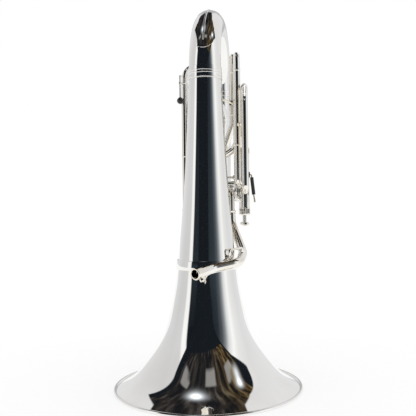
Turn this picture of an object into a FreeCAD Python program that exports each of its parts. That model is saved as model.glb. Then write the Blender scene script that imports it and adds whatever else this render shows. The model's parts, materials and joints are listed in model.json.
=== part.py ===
"""A three-valve marching tuba standing on its bell: +Z up, +Y to the back, origin at the rim's centre."""

import FreeCAD, Part
import math
import os

V = FreeCAD.Vector

# Bell: outer radius at each height above the floor, wall and rim
RIM_RADIUS = 254.0
RIM_BEAD = 4.0
RIM_FLAT = 0.6
BELL_FLARE = (
    (4.0, RIM_RADIUS - 2 * RIM_BEAD),
    (26.0, 208.0),
    (70.0, 166.0),
    (135.0, 122.0),
    (200.0, 101.5),
    (265.0, 88.0),
    (331.0, 78.5),
)
BELL_STEM = (BELL_FLARE[-1], (450.0, 67.0), (640.0, 54.0), (863.5, 43.5))
BELL_WALL = 0.9
COLLAR_BELOW = 12.0
COLLAR_ABOVE = 13.0
COLLAR_STEP = 4.0
COLLAR_GAP = 0.4
BOW_FERRULE_LENGTH = 33.0
BOW_FERRULE_RINGS = (2.0, 14.0, 21.0)
SEAT_GAP = 0.15

# Main bows and branches: places in plan, heights and radii along the air path
BOW_PLANE_DEG = 7.0
TOP_BOW_REACH = 160.0
THIRD_BRANCH = (-18.0, 188.0)
FOURTH_BRANCH = (45.0, 250.0)
BOTTOM_SPRING_Z = 430.0
INNER_SPRING_Z = 760.0
FOURTH_FOOT_Z = 560.0
BRANCH_WALL = 0.8
REAR_TOP_RADIUS = 37.5
REAR_FOOT_RADIUS = 32.0
THIRD_FOOT_RADIUS = 30.0
THIRD_TOP_RADIUS = 25.5
FOURTH_TOP_RADIUS = 22.0
FERRULE_WALL = 1.2
FERRULE_LENGTH = 18.0
FERRULE_LAP = 3.0
FERRULE_GAP = 0.3
REAR_FERRULE_LENGTH = 20.0
REAR_FERRULE_GAP = 0.5
GUARD_LIFT = 1.3
GUARD_HALF_WIDTH = 27.0
GUARD_FOOT_Z = 911.0
RIB_LIFT = 3.0
RIB_HALF_WIDTH = 2.4
RIB_FOOT_Z = 934.0

# Small tubing: one bore, plain tubes and the sleeves that the slides run in
BORE_RADIUS = 8.75
TUBE_WALL = 0.7
RUNNING_FIT = 0.05
SLEEVE_WALL = 0.6
SLEEVE_LAP = 18.0
TIGHT_BEND = 10.8

# Valves: three casings in a row along Y, finger buttons towards the bell
VALVE_X = 109.0
FRONT_VALVE_Y = 100.0
VALVE_PITCH = 44.0
CASING_RADIUS = 13.5
CASING_BORE = 11.8
PORT_Z = 532.0
PORT_STEP = 21.0
VALVE_TRAVEL = 18.0
CASING_FOOT_Z = 466.0
CASING_TOP_Z = 655.0
CAP_WALL = 1.3
CAP_SKIRT = 18.0
CAP_DISC = 4.0
CAP_CHAMFER = 0.8
PISTON_REST_GAP = 0.3
PISTON_LENGTH = 119.0
PISTON_SKIN = 0.9
PORT_WALL = 0.5
PASSAGE_LAP = 2.0
STEM_RADIUS = 3.5
BUTTON_RADIUS = 11.0
BUTTON_HEIGHT = 12.0
BUTTON_EDGE = 2.5
BUTTON_SPARE = 3.0
SPRING_WALL = 0.8

# Slides: how far each sleeve and leg reaches
SLIDE_1_X = 79.0
SLIDE_1_FRONT_Y = 166.0
SLIDE_1_BOW = 22.0
SLIDE_1_CROWN_Z = 951.0
SLIDE_1_SLEEVE = (742.0, 893.0)
SLIDE_1_LEG_Z = 790.0
SLIDE_1_TURN_X = 70.0
SLIDE_1_BENDS = (20.0, 16.0, 40.0, 40.0)
SLIDE_3_X = 88.5
SLIDE_3_FRONT_Y = 80.0
SLIDE_3_BOW = 21.0
SLIDE_3_CROWN_Z = 933.0
SLIDE_3_SLEEVE = (660.0, 880.0)
SLIDE_3_LEG_Z = 770.0
SLIDE_2_SLEEVE_END_X = 48.0
SLIDE_2_LEG_X = 90.0
SLIDE_2_BOW_X = 44.0
HIDDEN_LEG_X = 44.0
CROSS_Z = (640.0, 735.0)

# Main tuning slide on the left, and the tube that feeds it from the valves
TUNING_NEAR = (-67.0, 200.0)
TUNING_FAR = (-7.0, 262.0)
TUNING_CROWN_Z = 930.0
TUNING_SLEEVE_Z = (640.0, 870.0)
TUNING_FAR_FOOT_Z = 700.0
TUNING_LEG_Z = 750.0
FEED_FRONT_Y = 59.0
FEED_BOW = 21.0
FEED_CROWN_Z = 838.0
FEED_LOW_Z = 478.0
FEED_LEAN_Z = 707.0
FEED_ELBOW = (76.0, 650.0)
FEED_HIDDEN_Z = 630.0
FEED_BEHIND = (-30.0, 112.0)
FEED_ENTRY_Y = 160.0
FEED_BENDS = (14.0, FEED_BOW, FEED_BOW, 22.0, 22.0, 18.0, 25.0, 30.0, 24.0, 18.0)
ROD_PLACE = (-80.0, 184.0)
ROD_RADIUS = 2.8
ROD_TOP_Z = 886.0
KNOB_Z = 811.0
KNOB_RADIUS = 10.0
GUIDE_Z = 864.0

# Leadpipe: corners from the receiver back to the valves, and the receiver with its screw
LEADPIPE_RADIUS = 12.0
LEADPIPE_WALL = 1.0
MOUTH = (-27.0, -158.0, 319.0)
LEAD_CORNERS = (
    (15.0, -103.0, 327.4),
    (86.0, -72.0, 340.0),
    (99.0, 12.0, 358.0),
    (69.0, 90.0, 440.0),
)
LEAD_BENDS = (50.0, 45.0, 50.0, 40.0)
LEAD_TOP_Z = 470.0
ENTRY_BACK_Y = 234.0
ENTRY_BENDS = (20.0, 19.0, 16.0)
RECEIVER_RADIUS = 15.0
RECEIVER_COLLAR = 20.0
RECEIVER_BORE_RADIUS = 11.5
RECEIVER_DEPTH = 22.0
RECEIVER_LAP = 14.0
RECEIVER_SLEEVE_WALL = 1.2
SCREW_BACK = 11.0
SCREW_RADIUS = 2.5
SCREW_HEAD_RADIUS = 5.5
SCREW_HEAD_HEIGHT = 7.0
SCREW_FIT = 0.1
SCREW_TIP_SHORT = 0.5
ARCH_FOOT_Z = 352.0
ARCH_FOOT_DEG = -44.0
ARCH_LANDING = 0.70

# Water key on the front leg of the feed tube
KEY_Z = 806.0
KEY_PIN_RADIUS = 1.2
KEY_STANDOFF = 6.5
KEY_ARM = 16.0
KEY_WIDTH = 5.0

# Braces and the finger hook
BRACE_RADIUS = 3.5
BRACE_SLANT = 8.0
BELL_BRACE_Z = 797.0
THIRD_BRACE_Z = 560.0
FEED_BRACE_Z = 540.0
REAR_BRACE_Z = 620.0
TUNING_BRACE_Z = 700.0
HIDDEN_BRACE_Z = 570.0
FRONT_BRACE_Z = 720.0
TUNING_PAIR_Z = 856.0
SLIDE_1_PAIR_Z = 872.0
SLIDE_3_PAIR_Z = 860.0
FLANGE_RADIUS = 7.5
FLANGE_THICK = 2.5
HOOK_RADIUS = 2.4
HOOK_SLEEVE_RADIUS = 5.0
HOOK_TOP_Z = 578.0
HOOK_FOOT = (134.5, 88.0, 515.0)
HOOK_TIP = (136.5, 80.0, 500.0)

TUBE_RADIUS = BORE_RADIUS + TUBE_WALL
SLEEVE_BORE = TUBE_RADIUS + RUNNING_FIT
SLEEVE_RADIUS = SLEEVE_BORE + SLEEVE_WALL
BOW_SPRING_Z = BELL_STEM[-1][0]
STEM_TOP_RADIUS = BELL_STEM[-1][1]
PLANE = math.radians(BOW_PLANE_DEG)
REAR_BRANCH = (2 * TOP_BOW_REACH * math.sin(PLANE), 2 * TOP_BOW_REACH * math.cos(PLANE))
VALVE_YS = [FRONT_VALVE_Y + VALVE_PITCH * i for i in (2, 1, 0)]
UPPER_PORT_Z = PORT_Z + PORT_STEP
LOWER_PORT_Z = PORT_Z - PORT_STEP
SLIDE_1_BACK_Y = SLIDE_1_FRONT_Y + 2 * SLIDE_1_BOW
SLIDE_3_BACK_Y = SLIDE_3_FRONT_Y + 2 * SLIDE_3_BOW
FEED_BACK_Y = FEED_FRONT_Y + 2 * FEED_BOW


def ring(centre, normal, outer, inner=0.0):
    """A flat ring across a tube, or a disc where there is no bore."""
    big = Part.Wire(Part.makeCircle(outer, centre, normal))
    if inner <= 0:
        return Part.Face(big)
    small = Part.Wire(Part.makeCircle(inner, centre, normal))
    return Part.makeFace([big, small], "Part::FaceMakerBullseye")


def fused(pieces):
    """Pieces that touch, as one solid."""
    whole = pieces[0].multiFuse(pieces[1:]) if len(pieces) > 1 else pieces[0]
    return whole.removeSplitter()


def tube(route, radius, wall, bends):
    """A tube along straight runs joined by tangent arcs, one bend radius for each corner."""
    inner = radius - wall
    stops = [V(*p) for p in route]
    pieces = []
    start = stops[0]
    for before, corner, after, bend in zip(stops, stops[1:], stops[2:], bends):
        into = (corner - before).normalize()
        away = (after - corner).normalize()
        turn = into.getAngle(away)
        reach = bend * math.tan(turn / 2)
        arc_start = corner - into * reach
        axis = into.cross(away).normalize()
        if arc_start.distanceToPoint(start) > 0.01:
            pieces.append(ring(start, into, radius, inner).extrude(arc_start - start))
        centre = arc_start + axis.cross(into) * bend
        pieces.append(ring(arc_start, into, radius, inner).revolve(centre, axis, math.degrees(turn)))
        start = corner + away * reach
    last = stops[-1] - start
    pieces.append(ring(start, last, radius, inner).extrude(last))
    return fused(pieces)


def rod(route, radius, bends=()):
    """A solid rod along straight runs joined by tangent arcs."""
    return tube(route, radius, radius, bends)


def sleeve(start, end, bore, wall):
    """A straight tube given by its bore."""
    return tube([start, end], bore + wall, wall, ())


def at(place, z):
    """A point at a place in plan and a height."""
    return (place[0], place[1], z)


def frustum(place, low_z, high_z, low_radius, high_radius):
    """A solid upright cone, or a cylinder where both radii are the same."""
    foot = V(*at(place, low_z))
    if abs(low_radius - high_radius) < 1e-6:
        return Part.makeCylinder(low_radius, high_z - low_z, foot)
    return Part.makeCone(low_radius, high_radius, high_z - low_z, foot)


def taper(place, low_z, high_z, low_radius, high_radius, wall):
    """An upright conical branch."""
    outside = frustum(place, low_z, high_z, low_radius, high_radius)
    return outside.cut(frustum(place, low_z, high_z, low_radius - wall, high_radius - wall))


def bow_body(first, second, spring_z, side, first_radius, second_radius):
    """The filled half circle of a tapering bow; side is 1 for a crown and -1 for a foot."""
    a = V(*at(first, spring_z))
    b = V(*at(second, spring_z))
    centre = (a + b) * 0.5
    arm = (a - b) * 0.5
    reach = arm.Length
    arm.normalize()
    up = V(0, 0, side)
    across = arm.cross(up)
    stations = 8
    sections = []
    for i in range(stations + 1):
        share = i / stations
        angle = math.pi * share
        spot = centre + (arm * math.cos(angle) + up * math.sin(angle)) * reach
        along = up * math.cos(angle) - arm * math.sin(angle)
        turn = FreeCAD.Rotation(across, V(), along, "ZXY")
        loop = Part.makeCircle(first_radius + (second_radius - first_radius) * share)
        loop.Placement = FreeCAD.Placement(spot, turn)
        sections.append(Part.Wire(loop))
    return Part.makeLoft(sections, True)


def tapered_bow(first, second, spring_z, side, first_radius, second_radius, wall):
    """A hollow tapering bow."""
    skin = bow_body(first, second, spring_z, side, first_radius, second_radius)
    return skin.cut(bow_body(first, second, spring_z, side, first_radius - wall, second_radius - wall))


def bell_part(outline, wall):
    """A revolved bell wall whose outside follows the outline."""
    outside = Part.BSplineCurve()
    outside.interpolate([V(r, 0, z) for z, r in outline])
    inside_points = []
    samples = 12
    for i in range(samples + 1):
        u = outside.FirstParameter + (outside.LastParameter - outside.FirstParameter) * i / samples
        along = outside.tangent(u)[0]
        spot = outside.value(u)
        inwards = V(-along.z, 0, along.x)
        if inwards.x > 0:
            inwards = inwards * -1
        if i in (0, samples):
            steep = abs(inwards.x) > abs(inwards.z)
            inwards = V(1.0 / inwards.x, 0, 0) if steep else V(0, 0, 1.0 / inwards.z)
        inside_points.append(spot + inwards * wall)
    inside = Part.BSplineCurve()
    inside.interpolate(inside_points)
    ends = [
        Part.makeLine(outside.EndPoint, inside.EndPoint),
        Part.makeLine(inside.StartPoint, outside.StartPoint),
    ]
    profile = Part.Wire([outside.toShape(), ends[0], inside.toShape(), ends[1]])
    return Part.Face(profile).revolve(V(), V(0, 0, 1), 360)


def between(z, low, high):
    """The radius at a height between two (height, radius) pairs."""
    return low[1] + (high[1] - low[1]) * (z - low[0]) / (high[0] - low[0])


def bell_radius(z):
    """The bell's outside at a height."""
    points = BELL_FLARE + BELL_STEM[1:]
    for low, high in zip(points, points[1:]):
        if z <= high[0]:
            return between(z, low, high)
    return points[-1][1]


def rear_radius(z):
    """The rear branch's outside at a height."""
    return between(z, (BOTTOM_SPRING_Z, REAR_FOOT_RADIUS), (BOW_SPRING_Z, REAR_TOP_RADIUS))


def third_radius(z):
    """The third branch's outside at a height."""
    return between(z, (BOTTOM_SPRING_Z, THIRD_FOOT_RADIUS), (INNER_SPRING_Z, THIRD_TOP_RADIUS))


def fourth_radius(z):
    """The fourth branch's outside at a height."""
    return between(z, (FOURTH_FOOT_Z, SLEEVE_RADIUS), (INNER_SPRING_Z, FOURTH_TOP_RADIUS))


def rim_bead():
    """The rolled edge, with the flat that it stands on."""
    centre_z = RIM_BEAD - RIM_FLAT
    centre_r = RIM_RADIUS - RIM_BEAD
    bead = Part.makeTorus(centre_r, RIM_BEAD, V(0, 0, centre_z))
    bead = bead.cut(Part.makeCylinder(RIM_RADIUS + 1, RIM_BEAD, V(0, 0, -RIM_BEAD)))
    lip = Part.makeCylinder(BELL_FLARE[0][1] + SEAT_GAP, 4 * RIM_BEAD, V(0, 0, -RIM_BEAD))
    return bead.cut(lip)


def band(place, low_z, high_z, inner_low, inner_high, wall, beads=()):
    """A ferrule or collar with raised rings at the given heights."""
    outside_low = inner_low + wall
    outside_high = inner_high + wall
    height = high_z - low_z
    solid = frustum(place, low_z, high_z, outside_low, outside_high)
    for z in beads:
        share = (z - low_z) / height
        radius = outside_low + (outside_high - outside_low) * share
        solid = solid.fuse(Part.makeTorus(radius - 0.3, wall, V(*at(place, z))))
    reach = 2 * wall
    slope = (inner_high - inner_low) / height * reach
    return solid.cut(frustum(place, low_z - reach, high_z + reach, inner_low - slope, inner_high + slope))


def guard():
    """The stamped plate over the top bow, with round ends and a raised rib along its middle."""
    front = (0.0, 0.0)
    span = V(*at(front, 0)) - V(*at(REAR_BRANCH, 0))
    span.normalize()
    across = span.cross(V(0, 0, 1))
    middle = (V(*at(front, BOW_SPRING_Z)) + V(*at(REAR_BRANCH, BOW_SPRING_Z))) * 0.5

    def shell(lift):
        return bow_body(front, REAR_BRANCH, BOW_SPRING_Z, 1, STEM_TOP_RADIUS + lift, REAR_TOP_RADIUS + lift)

    def strip(half_width, foot_z):
        far = 2 * TOP_BOW_REACH
        start = middle + span * far
        start.z = foot_z + half_width
        left = start - across * half_width
        right = start + across * half_width
        rise = V(0, 0, far)
        under = start - V(0, 0, half_width)
        edges = [
            Part.Arc(left, under, right).toShape(),
            Part.makeLine(right, right + rise),
            Part.makeLine(right + rise, left + rise),
            Part.makeLine(left + rise, left),
        ]
        return Part.Face(Part.Wire(edges)).extrude(span * (-2 * far))

    half = 2 * GUARD_HALF_WIDTH
    inside = Part.makeCylinder(TOP_BOW_REACH, 2 * half, middle - across * half, across)
    bow = shell(SEAT_GAP)
    plate = shell(GUARD_LIFT).common(strip(GUARD_HALF_WIDTH, GUARD_FOOT_Z)).cut(inside)
    rib = shell(RIB_LIFT).common(strip(RIB_HALF_WIDTH, RIB_FOOT_Z)).cut(inside)
    return plate.fuse(rib).cut(bow)


def brace(first, first_radius, second, second_radius, z):
    """A round brace between two upright tubes, with a saddle foot on each."""
    a = V(*at(first, z))
    b = V(*at(second, z))
    along = (b - a).normalize()
    start = a + along * (first_radius - 1)
    stop = b - along * (second_radius - 1)
    bar = Part.makeCylinder(BRACE_RADIUS, start.distanceToPoint(stop), start, along)
    flange = min(FLANGE_RADIUS, 0.8 * min(first_radius, second_radius))
    dip_a = first_radius - math.sqrt(first_radius**2 - flange**2)
    dip_b = second_radius - math.sqrt(second_radius**2 - flange**2)
    spot_a = a + along * (first_radius - dip_a)
    spot_b = b - along * (second_radius - dip_b)
    foot_a = Part.makeCylinder(flange, dip_a + FLANGE_THICK, spot_a, along)
    foot_b = Part.makeCylinder(flange, dip_b + FLANGE_THICK, spot_b, along * -1)
    body = fused([bar, foot_a, foot_b])
    reach = 4 * FLANGE_RADIUS
    for spot, radius in ((a, first_radius), (b, second_radius)):
        body = body.cut(Part.makeCylinder(radius + SEAT_GAP, 2 * reach, spot - V(0, 0, reach)))
    return body


def polar(y, degrees, reach, z):
    """A point beside the valve at y."""
    angle = math.radians(degrees)
    return (VALVE_X + reach * math.cos(angle), y + reach * math.sin(angle), z)


def bearing(y, target):
    """The direction in degrees from the valve at y to a place in plan."""
    return math.degrees(math.atan2(target[1] - y, target[0] - VALVE_X))


def port(y, degrees, z, reach, radius):
    """A round bar from the valve's axis outwards."""
    start = V(VALVE_X, y, z)
    end = V(*polar(y, degrees, reach, z))
    return Part.makeCylinder(radius, reach, start, end - start)


def clear_of_valve(shape, y):
    """What is outside the valve casing at y."""
    height = CASING_TOP_Z - CASING_FOOT_Z
    hollow = Part.makeCylinder(CASING_RADIUS + SEAT_GAP, height, V(VALVE_X, y, CASING_FOOT_Z))
    return shape.cut(hollow)


def valve_ports(y):
    """(direction, height) of the two slide ports of the valve at y."""
    if y == FRONT_VALVE_Y:
        upper = bearing(y, (SLIDE_3_X, SLIDE_3_FRONT_Y))
        lower = bearing(y, (SLIDE_3_X, SLIDE_3_BACK_Y))
        return ((upper, UPPER_PORT_Z), (lower, LOWER_PORT_Z))
    return ((180.0, UPPER_PORT_Z), (180.0, LOWER_PORT_Z))


def casing(y):
    """A valve casing, bored and drilled for its four tubes."""
    foot = V(VALVE_X, y, CASING_FOOT_Z)
    height = CASING_TOP_Z - CASING_FOOT_Z
    body = Part.makeCylinder(CASING_RADIUS, height, foot).cut(Part.makeCylinder(CASING_BORE, height, foot))
    for degrees, z in ((90.0, PORT_Z), (270.0, PORT_Z)) + valve_ports(y):
        body = body.cut(port(y, degrees, z, 2 * CASING_RADIUS, BORE_RADIUS))
    return body


def piston(y):
    """A hollow piston with a straight passage at rest and two crossed ones for when it is pressed."""
    radius = CASING_BORE - RUNNING_FIT
    foot_z = CASING_FOOT_Z + PISTON_REST_GAP
    outside = Part.makeCylinder(radius, PISTON_LENGTH, V(VALVE_X, y, foot_z))
    room = Part.makeCylinder(
        radius - PISTON_SKIN, PISTON_LENGTH - 2 * PISTON_SKIN, V(VALVE_X, y, foot_z + PISTON_SKIN)
    )
    low_z = PORT_Z - VALVE_TRAVEL
    upper, lower = valve_ports(y)

    def passages(radius_of_bore):
        start = V(VALVE_X, y - 2 * radius, PORT_Z)
        pieces = [Part.makeCylinder(radius_of_bore, 4 * radius, start, V(0, 1, 0))]
        for side, (degrees, z) in ((90.0, upper), (270.0, lower)):
            hub = V(VALVE_X, y, low_z)
            away = V(*polar(y, degrees, radius, z - VALVE_TRAVEL)) - hub
            start = hub - away * (PASSAGE_LAP / away.Length)
            pieces.append(Part.makeCylinder(radius_of_bore, 3 * radius, start, away))
            pieces.append(port(y, side, low_z, 2 * radius, radius_of_bore))
        return pieces

    pipes = passages(BORE_RADIUS - PORT_WALL)
    holes = passages(BORE_RADIUS - 2 * PORT_WALL)
    for pipe in pipes:
        room = room.cut(pipe)
    body = outside.cut(room)
    for hole in holes:
        body = body.cut(hole)
    solids = sorted(body.Solids, key=lambda s: s.Volume)
    return solids[-1]


def stem_cap(y):
    """The knurled cap that the stem runs through."""
    low_z = CASING_FOOT_Z - CAP_DISC
    outer = CASING_RADIUS + SEAT_GAP + CAP_WALL
    body = Part.makeCylinder(outer, CAP_DISC + CAP_SKIRT, V(VALVE_X, y, low_z))
    rims = [e for e in body.Edges if e.BoundBox.ZMax < low_z + 0.01]
    body = body.makeChamfer(CAP_CHAMFER, rims)
    body = body.cut(Part.makeCylinder(CASING_RADIUS + SEAT_GAP, CAP_SKIRT, V(VALVE_X, y, CASING_FOOT_Z)))
    return body.cut(Part.makeCylinder(STEM_RADIUS + RUNNING_FIT, CAP_DISC, V(VALVE_X, y, low_z)))


def end_cap(y):
    """The domed cap at the blind end, which the spring presses on."""
    outer = CASING_RADIUS + SEAT_GAP + CAP_WALL
    skirt_z = CASING_TOP_Z - CAP_SKIRT
    body = Part.makeCylinder(outer, CAP_SKIRT, V(VALVE_X, y, skirt_z))
    body = body.cut(Part.makeCylinder(CASING_RADIUS + SEAT_GAP, CAP_SKIRT, V(VALVE_X, y, skirt_z)))
    crown = Part.Arc(V(outer, 0, 0), V(0.72 * outer, 0, 0.62 * CAP_DISC), V(0, 0, CAP_DISC)).toShape()
    edges = [crown, Part.makeLine(V(0, 0, CAP_DISC), V()), Part.makeLine(V(), V(outer, 0, 0))]
    dome = Part.Face(Part.Wire(edges)).revolve(V(), V(0, 0, 1), 360)
    dome.translate(V(VALVE_X, y, CASING_TOP_Z))
    return fused([body, dome])


def button(y):
    """The finger button, domed towards the finger."""
    top_z = CASING_FOOT_Z - CAP_DISC - VALVE_TRAVEL - BUTTON_SPARE
    edge = BUTTON_EDGE
    side_z = BUTTON_HEIGHT / 2
    ball = (BUTTON_RADIUS**2 + side_z**2) / (2 * side_z)
    mid = BUTTON_RADIUS / 2
    mid_z = ball - BUTTON_HEIGHT - math.sqrt(ball**2 - mid**2)
    slant = edge * math.sqrt(0.5)
    corner = V(BUTTON_RADIUS - edge + slant, 0, slant - edge)
    edges = [
        Part.makeLine(V(), V(BUTTON_RADIUS - edge, 0, 0)),
        Part.Arc(V(BUTTON_RADIUS - edge, 0, 0), corner, V(BUTTON_RADIUS, 0, -edge)).toShape(),
        Part.makeLine(V(BUTTON_RADIUS, 0, -edge), V(BUTTON_RADIUS, 0, -side_z)),
        Part.Arc(V(BUTTON_RADIUS, 0, -side_z), V(mid, 0, mid_z), V(0, 0, -BUTTON_HEIGHT)).toShape(),
        Part.makeLine(V(0, 0, -BUTTON_HEIGHT), V()),
    ]
    body = Part.Face(Part.Wire(edges)).revolve(V(), V(0, 0, 1), 360)
    body.translate(V(VALVE_X, y, top_z))
    return body


def valve_nodes():
    """Every piece of the three valves, numbered along the air path from the back."""
    nodes = {}
    button_top = CASING_FOOT_Z - CAP_DISC - VALVE_TRAVEL - BUTTON_SPARE
    piston_foot = CASING_FOOT_Z + PISTON_REST_GAP
    piston_top = piston_foot + PISTON_LENGTH
    spring_bore = CASING_BORE - RUNNING_FIT - PISTON_SKIN - SPRING_WALL - 1
    for number, y in enumerate(VALVE_YS, 1):
        axis = (VALVE_X, y)
        nodes[f"valve_casing_{number}"] = casing(y)
        nodes[f"piston_{number}"] = piston(y)
        nodes[f"valve_stem_{number}"] = rod([at(axis, button_top), at(axis, piston_foot)], STEM_RADIUS)
        nodes[f"finger_button_{number}"] = button(y)
        nodes[f"stem_cap_{number}"] = stem_cap(y)
        nodes[f"end_cap_{number}"] = end_cap(y)
        nodes[f"valve_spring_{number}"] = sleeve(
            at(axis, piston_top), at(axis, CASING_TOP_Z - PISTON_REST_GAP), spring_bore, SPRING_WALL
        )
    return nodes


def knuckles():
    """The two short tubes that join the casings."""
    pieces = []
    for y in VALVE_YS[1:]:
        bar = tube([(VALVE_X, y, PORT_Z), (VALVE_X, y + VALVE_PITCH, PORT_Z)], TUBE_RADIUS, TUBE_WALL, ())
        pieces.append(clear_of_valve(clear_of_valve(bar, y), y + VALVE_PITCH))
    return Part.makeCompound(pieces)


def slide_1():
    """The long slide of the rear valve: its legs lean behind the bell and come out beside it."""
    y = VALVE_YS[0]
    low_z, high_z = SLIDE_1_SLEEVE
    fixed = []
    legs = []
    for leg_y, port_z in ((SLIDE_1_FRONT_Y, UPPER_PORT_Z), (SLIDE_1_BACK_Y, LOWER_PORT_Z)):
        route = [
            (VALVE_X, y, port_z),
            (SLIDE_1_TURN_X, y, port_z),
            (HIDDEN_LEG_X, leg_y, port_z),
            (HIDDEN_LEG_X, leg_y, CROSS_Z[0]),
            (SLIDE_1_X, leg_y, CROSS_Z[1]),
            (SLIDE_1_X, leg_y, low_z + 2 * SLEEVE_LAP),
        ]
        run = tube(route, TUBE_RADIUS, TUBE_WALL, SLIDE_1_BENDS)
        fixed.append(clear_of_valve(run, y))
        place = (SLIDE_1_X, leg_y)
        fixed.append(sleeve(at(place, low_z + SLEEVE_LAP), at(place, high_z), SLEEVE_BORE, SLEEVE_WALL))
        legs.append(place)
    return Part.makeCompound(fixed), slide_bow(legs[0], legs[1], SLIDE_1_LEG_Z, SLIDE_1_CROWN_Z)


def slide_bow(first, second, leg_z, crown_z):
    """The sliding part: two legs and the bow that joins them."""
    half = V(*at(first, 0)).distanceToPoint(V(*at(second, 0))) / 2
    top = crown_z - TUBE_RADIUS
    route = [at(first, leg_z), at(first, top), at(second, top), at(second, leg_z)]
    return tube(route, TUBE_RADIUS, TUBE_WALL, (half, half))


def slide_2():
    """The short slide of the middle valve, which lies across behind the bell."""
    y = VALVE_YS[1]
    fixed = []
    for z in (UPPER_PORT_Z, LOWER_PORT_Z):
        run = sleeve((VALVE_X, y, z), (SLIDE_2_SLEEVE_END_X, y, z), SLEEVE_BORE, SLEEVE_WALL)
        fixed.append(clear_of_valve(run, y))
    far = SLIDE_2_BOW_X - PORT_STEP
    route = [
        (SLIDE_2_LEG_X, y, UPPER_PORT_Z),
        (far, y, UPPER_PORT_Z),
        (far, y, LOWER_PORT_Z),
        (SLIDE_2_LEG_X, y, LOWER_PORT_Z),
    ]
    return Part.makeCompound(fixed), tube(route, TUBE_RADIUS, TUBE_WALL, (PORT_STEP, PORT_STEP))


def slide_3():
    """The slide of the front valve, whose legs rise beside the casings."""
    y = VALVE_YS[2]
    low_z, high_z = SLIDE_3_SLEEVE
    fixed = []
    legs = []
    for leg_y, port_z in ((SLIDE_3_FRONT_Y, UPPER_PORT_Z), (SLIDE_3_BACK_Y, LOWER_PORT_Z)):
        place = (SLIDE_3_X, leg_y)
        route = [(VALVE_X, y, port_z), at(place, port_z), at(place, low_z + SLEEVE_LAP)]
        run = tube(route, TUBE_RADIUS, TUBE_WALL, (TIGHT_BEND,))
        fixed.append(clear_of_valve(run, y))
        fixed.append(sleeve(at(place, low_z), at(place, high_z), SLEEVE_BORE, SLEEVE_WALL))
        legs.append(place)
    return Part.makeCompound(fixed), slide_bow(legs[0], legs[1], SLIDE_3_LEG_Z, SLIDE_3_CROWN_Z)


def feed_tube():
    """From the front valve up, over and down behind the bell to the main tuning slide."""
    y = VALVE_YS[2]
    top = FEED_CROWN_Z - TUBE_RADIUS
    route = [
        (VALVE_X, y, PORT_Z),
        (VALVE_X, FEED_FRONT_Y, PORT_Z),
        (VALVE_X, FEED_FRONT_Y, top),
        (VALVE_X, FEED_BACK_Y, top),
        (VALVE_X, FEED_BACK_Y, FEED_LEAN_Z),
        (FEED_ELBOW[0], FEED_BACK_Y, FEED_ELBOW[1]),
        (HIDDEN_LEG_X, FEED_BACK_Y, FEED_HIDDEN_Z),
        (HIDDEN_LEG_X, FEED_BACK_Y, FEED_LOW_Z),
        at(FEED_BEHIND, FEED_LOW_Z),
        (TUNING_NEAR[0], FEED_ENTRY_Y, FEED_LOW_Z),
        at(TUNING_NEAR, FEED_LOW_Z),
        at(TUNING_NEAR, TUNING_SLEEVE_Z[0] + SLEEVE_LAP),
    ]
    return clear_of_valve(tube(route, TUBE_RADIUS, TUBE_WALL, FEED_BENDS), y)


def tuning_sleeves():
    """The two fixed sleeves of the main tuning slide."""
    foot_z, head_z = TUNING_SLEEVE_Z
    near = sleeve(at(TUNING_NEAR, foot_z), at(TUNING_NEAR, head_z), SLEEVE_BORE, SLEEVE_WALL)
    far = sleeve(at(TUNING_FAR, TUNING_FAR_FOOT_Z), at(TUNING_FAR, head_z), SLEEVE_BORE, SLEEVE_WALL)
    return Part.makeCompound([near, far])


def return_bow():
    """From the far tuning sleeve down and round to the foot of the fourth branch."""
    half = V(*at(TUNING_FAR, 0)).distanceToPoint(V(*at(FOURTH_BRANCH, 0))) / 2
    low_z = FOURTH_FOOT_Z - half
    route = [
        at(TUNING_FAR, TUNING_FAR_FOOT_Z + SLEEVE_LAP),
        at(TUNING_FAR, low_z),
        at(FOURTH_BRANCH, low_z),
        at(FOURTH_BRANCH, FOURTH_FOOT_Z + SLEEVE_LAP / 2),
    ]
    return tube(route, TUBE_RADIUS, TUBE_WALL, (half, half))


def branch_ferrules():
    """Plain ferrules over the joints of the hidden branches."""
    foot_z = BOTTOM_SPRING_Z - FERRULE_LAP
    head_z = INNER_SPRING_Z + FERRULE_LAP - FERRULE_LENGTH
    joints = (
        (REAR_BRANCH, foot_z, rear_radius),
        (THIRD_BRANCH, foot_z, third_radius),
        (THIRD_BRANCH, head_z, third_radius),
        (FOURTH_BRANCH, head_z, fourth_radius),
    )
    pieces = []
    for place, low, radius in joints:
        high = low + FERRULE_LENGTH
        bore_low = radius(low) + FERRULE_GAP
        bore_high = radius(high) + FERRULE_GAP
        pieces.append(band(place, low, high, bore_low, bore_high, FERRULE_WALL))
    return Part.makeCompound(pieces)


def pull_rod():
    """The rod soldered to the slide's near leg, with the lug that holds it."""
    place = V(*at(ROD_PLACE, ROD_TOP_Z))
    leg = V(*at(TUNING_NEAR, ROD_TOP_Z))
    bar = rod([at(ROD_PLACE, KNOB_Z + KNOB_RADIUS), at(ROD_PLACE, ROD_TOP_Z + 2)], ROD_RADIUS)
    lug = Part.makeCylinder(ROD_RADIUS, place.distanceToPoint(leg), place, leg - place)
    lug = lug.cut(Part.makeCylinder(TUBE_RADIUS + SEAT_GAP, 40, leg - V(0, 0, 20)))
    return fused([bar, lug])


def pull_knob():
    """The round pull knob, drilled where the rod ends."""
    top_z = KNOB_Z + KNOB_RADIUS
    ball = Part.makeSphere(KNOB_RADIUS, V(*at(ROD_PLACE, KNOB_Z)))
    flat = Part.makeCylinder(KNOB_RADIUS, KNOB_RADIUS, V(*at(ROD_PLACE, top_z - 1)))
    neck = rod([at(ROD_PLACE, top_z - 3), at(ROD_PLACE, top_z)], ROD_RADIUS + 1)
    return fused([ball.cut(flat), neck])


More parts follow.
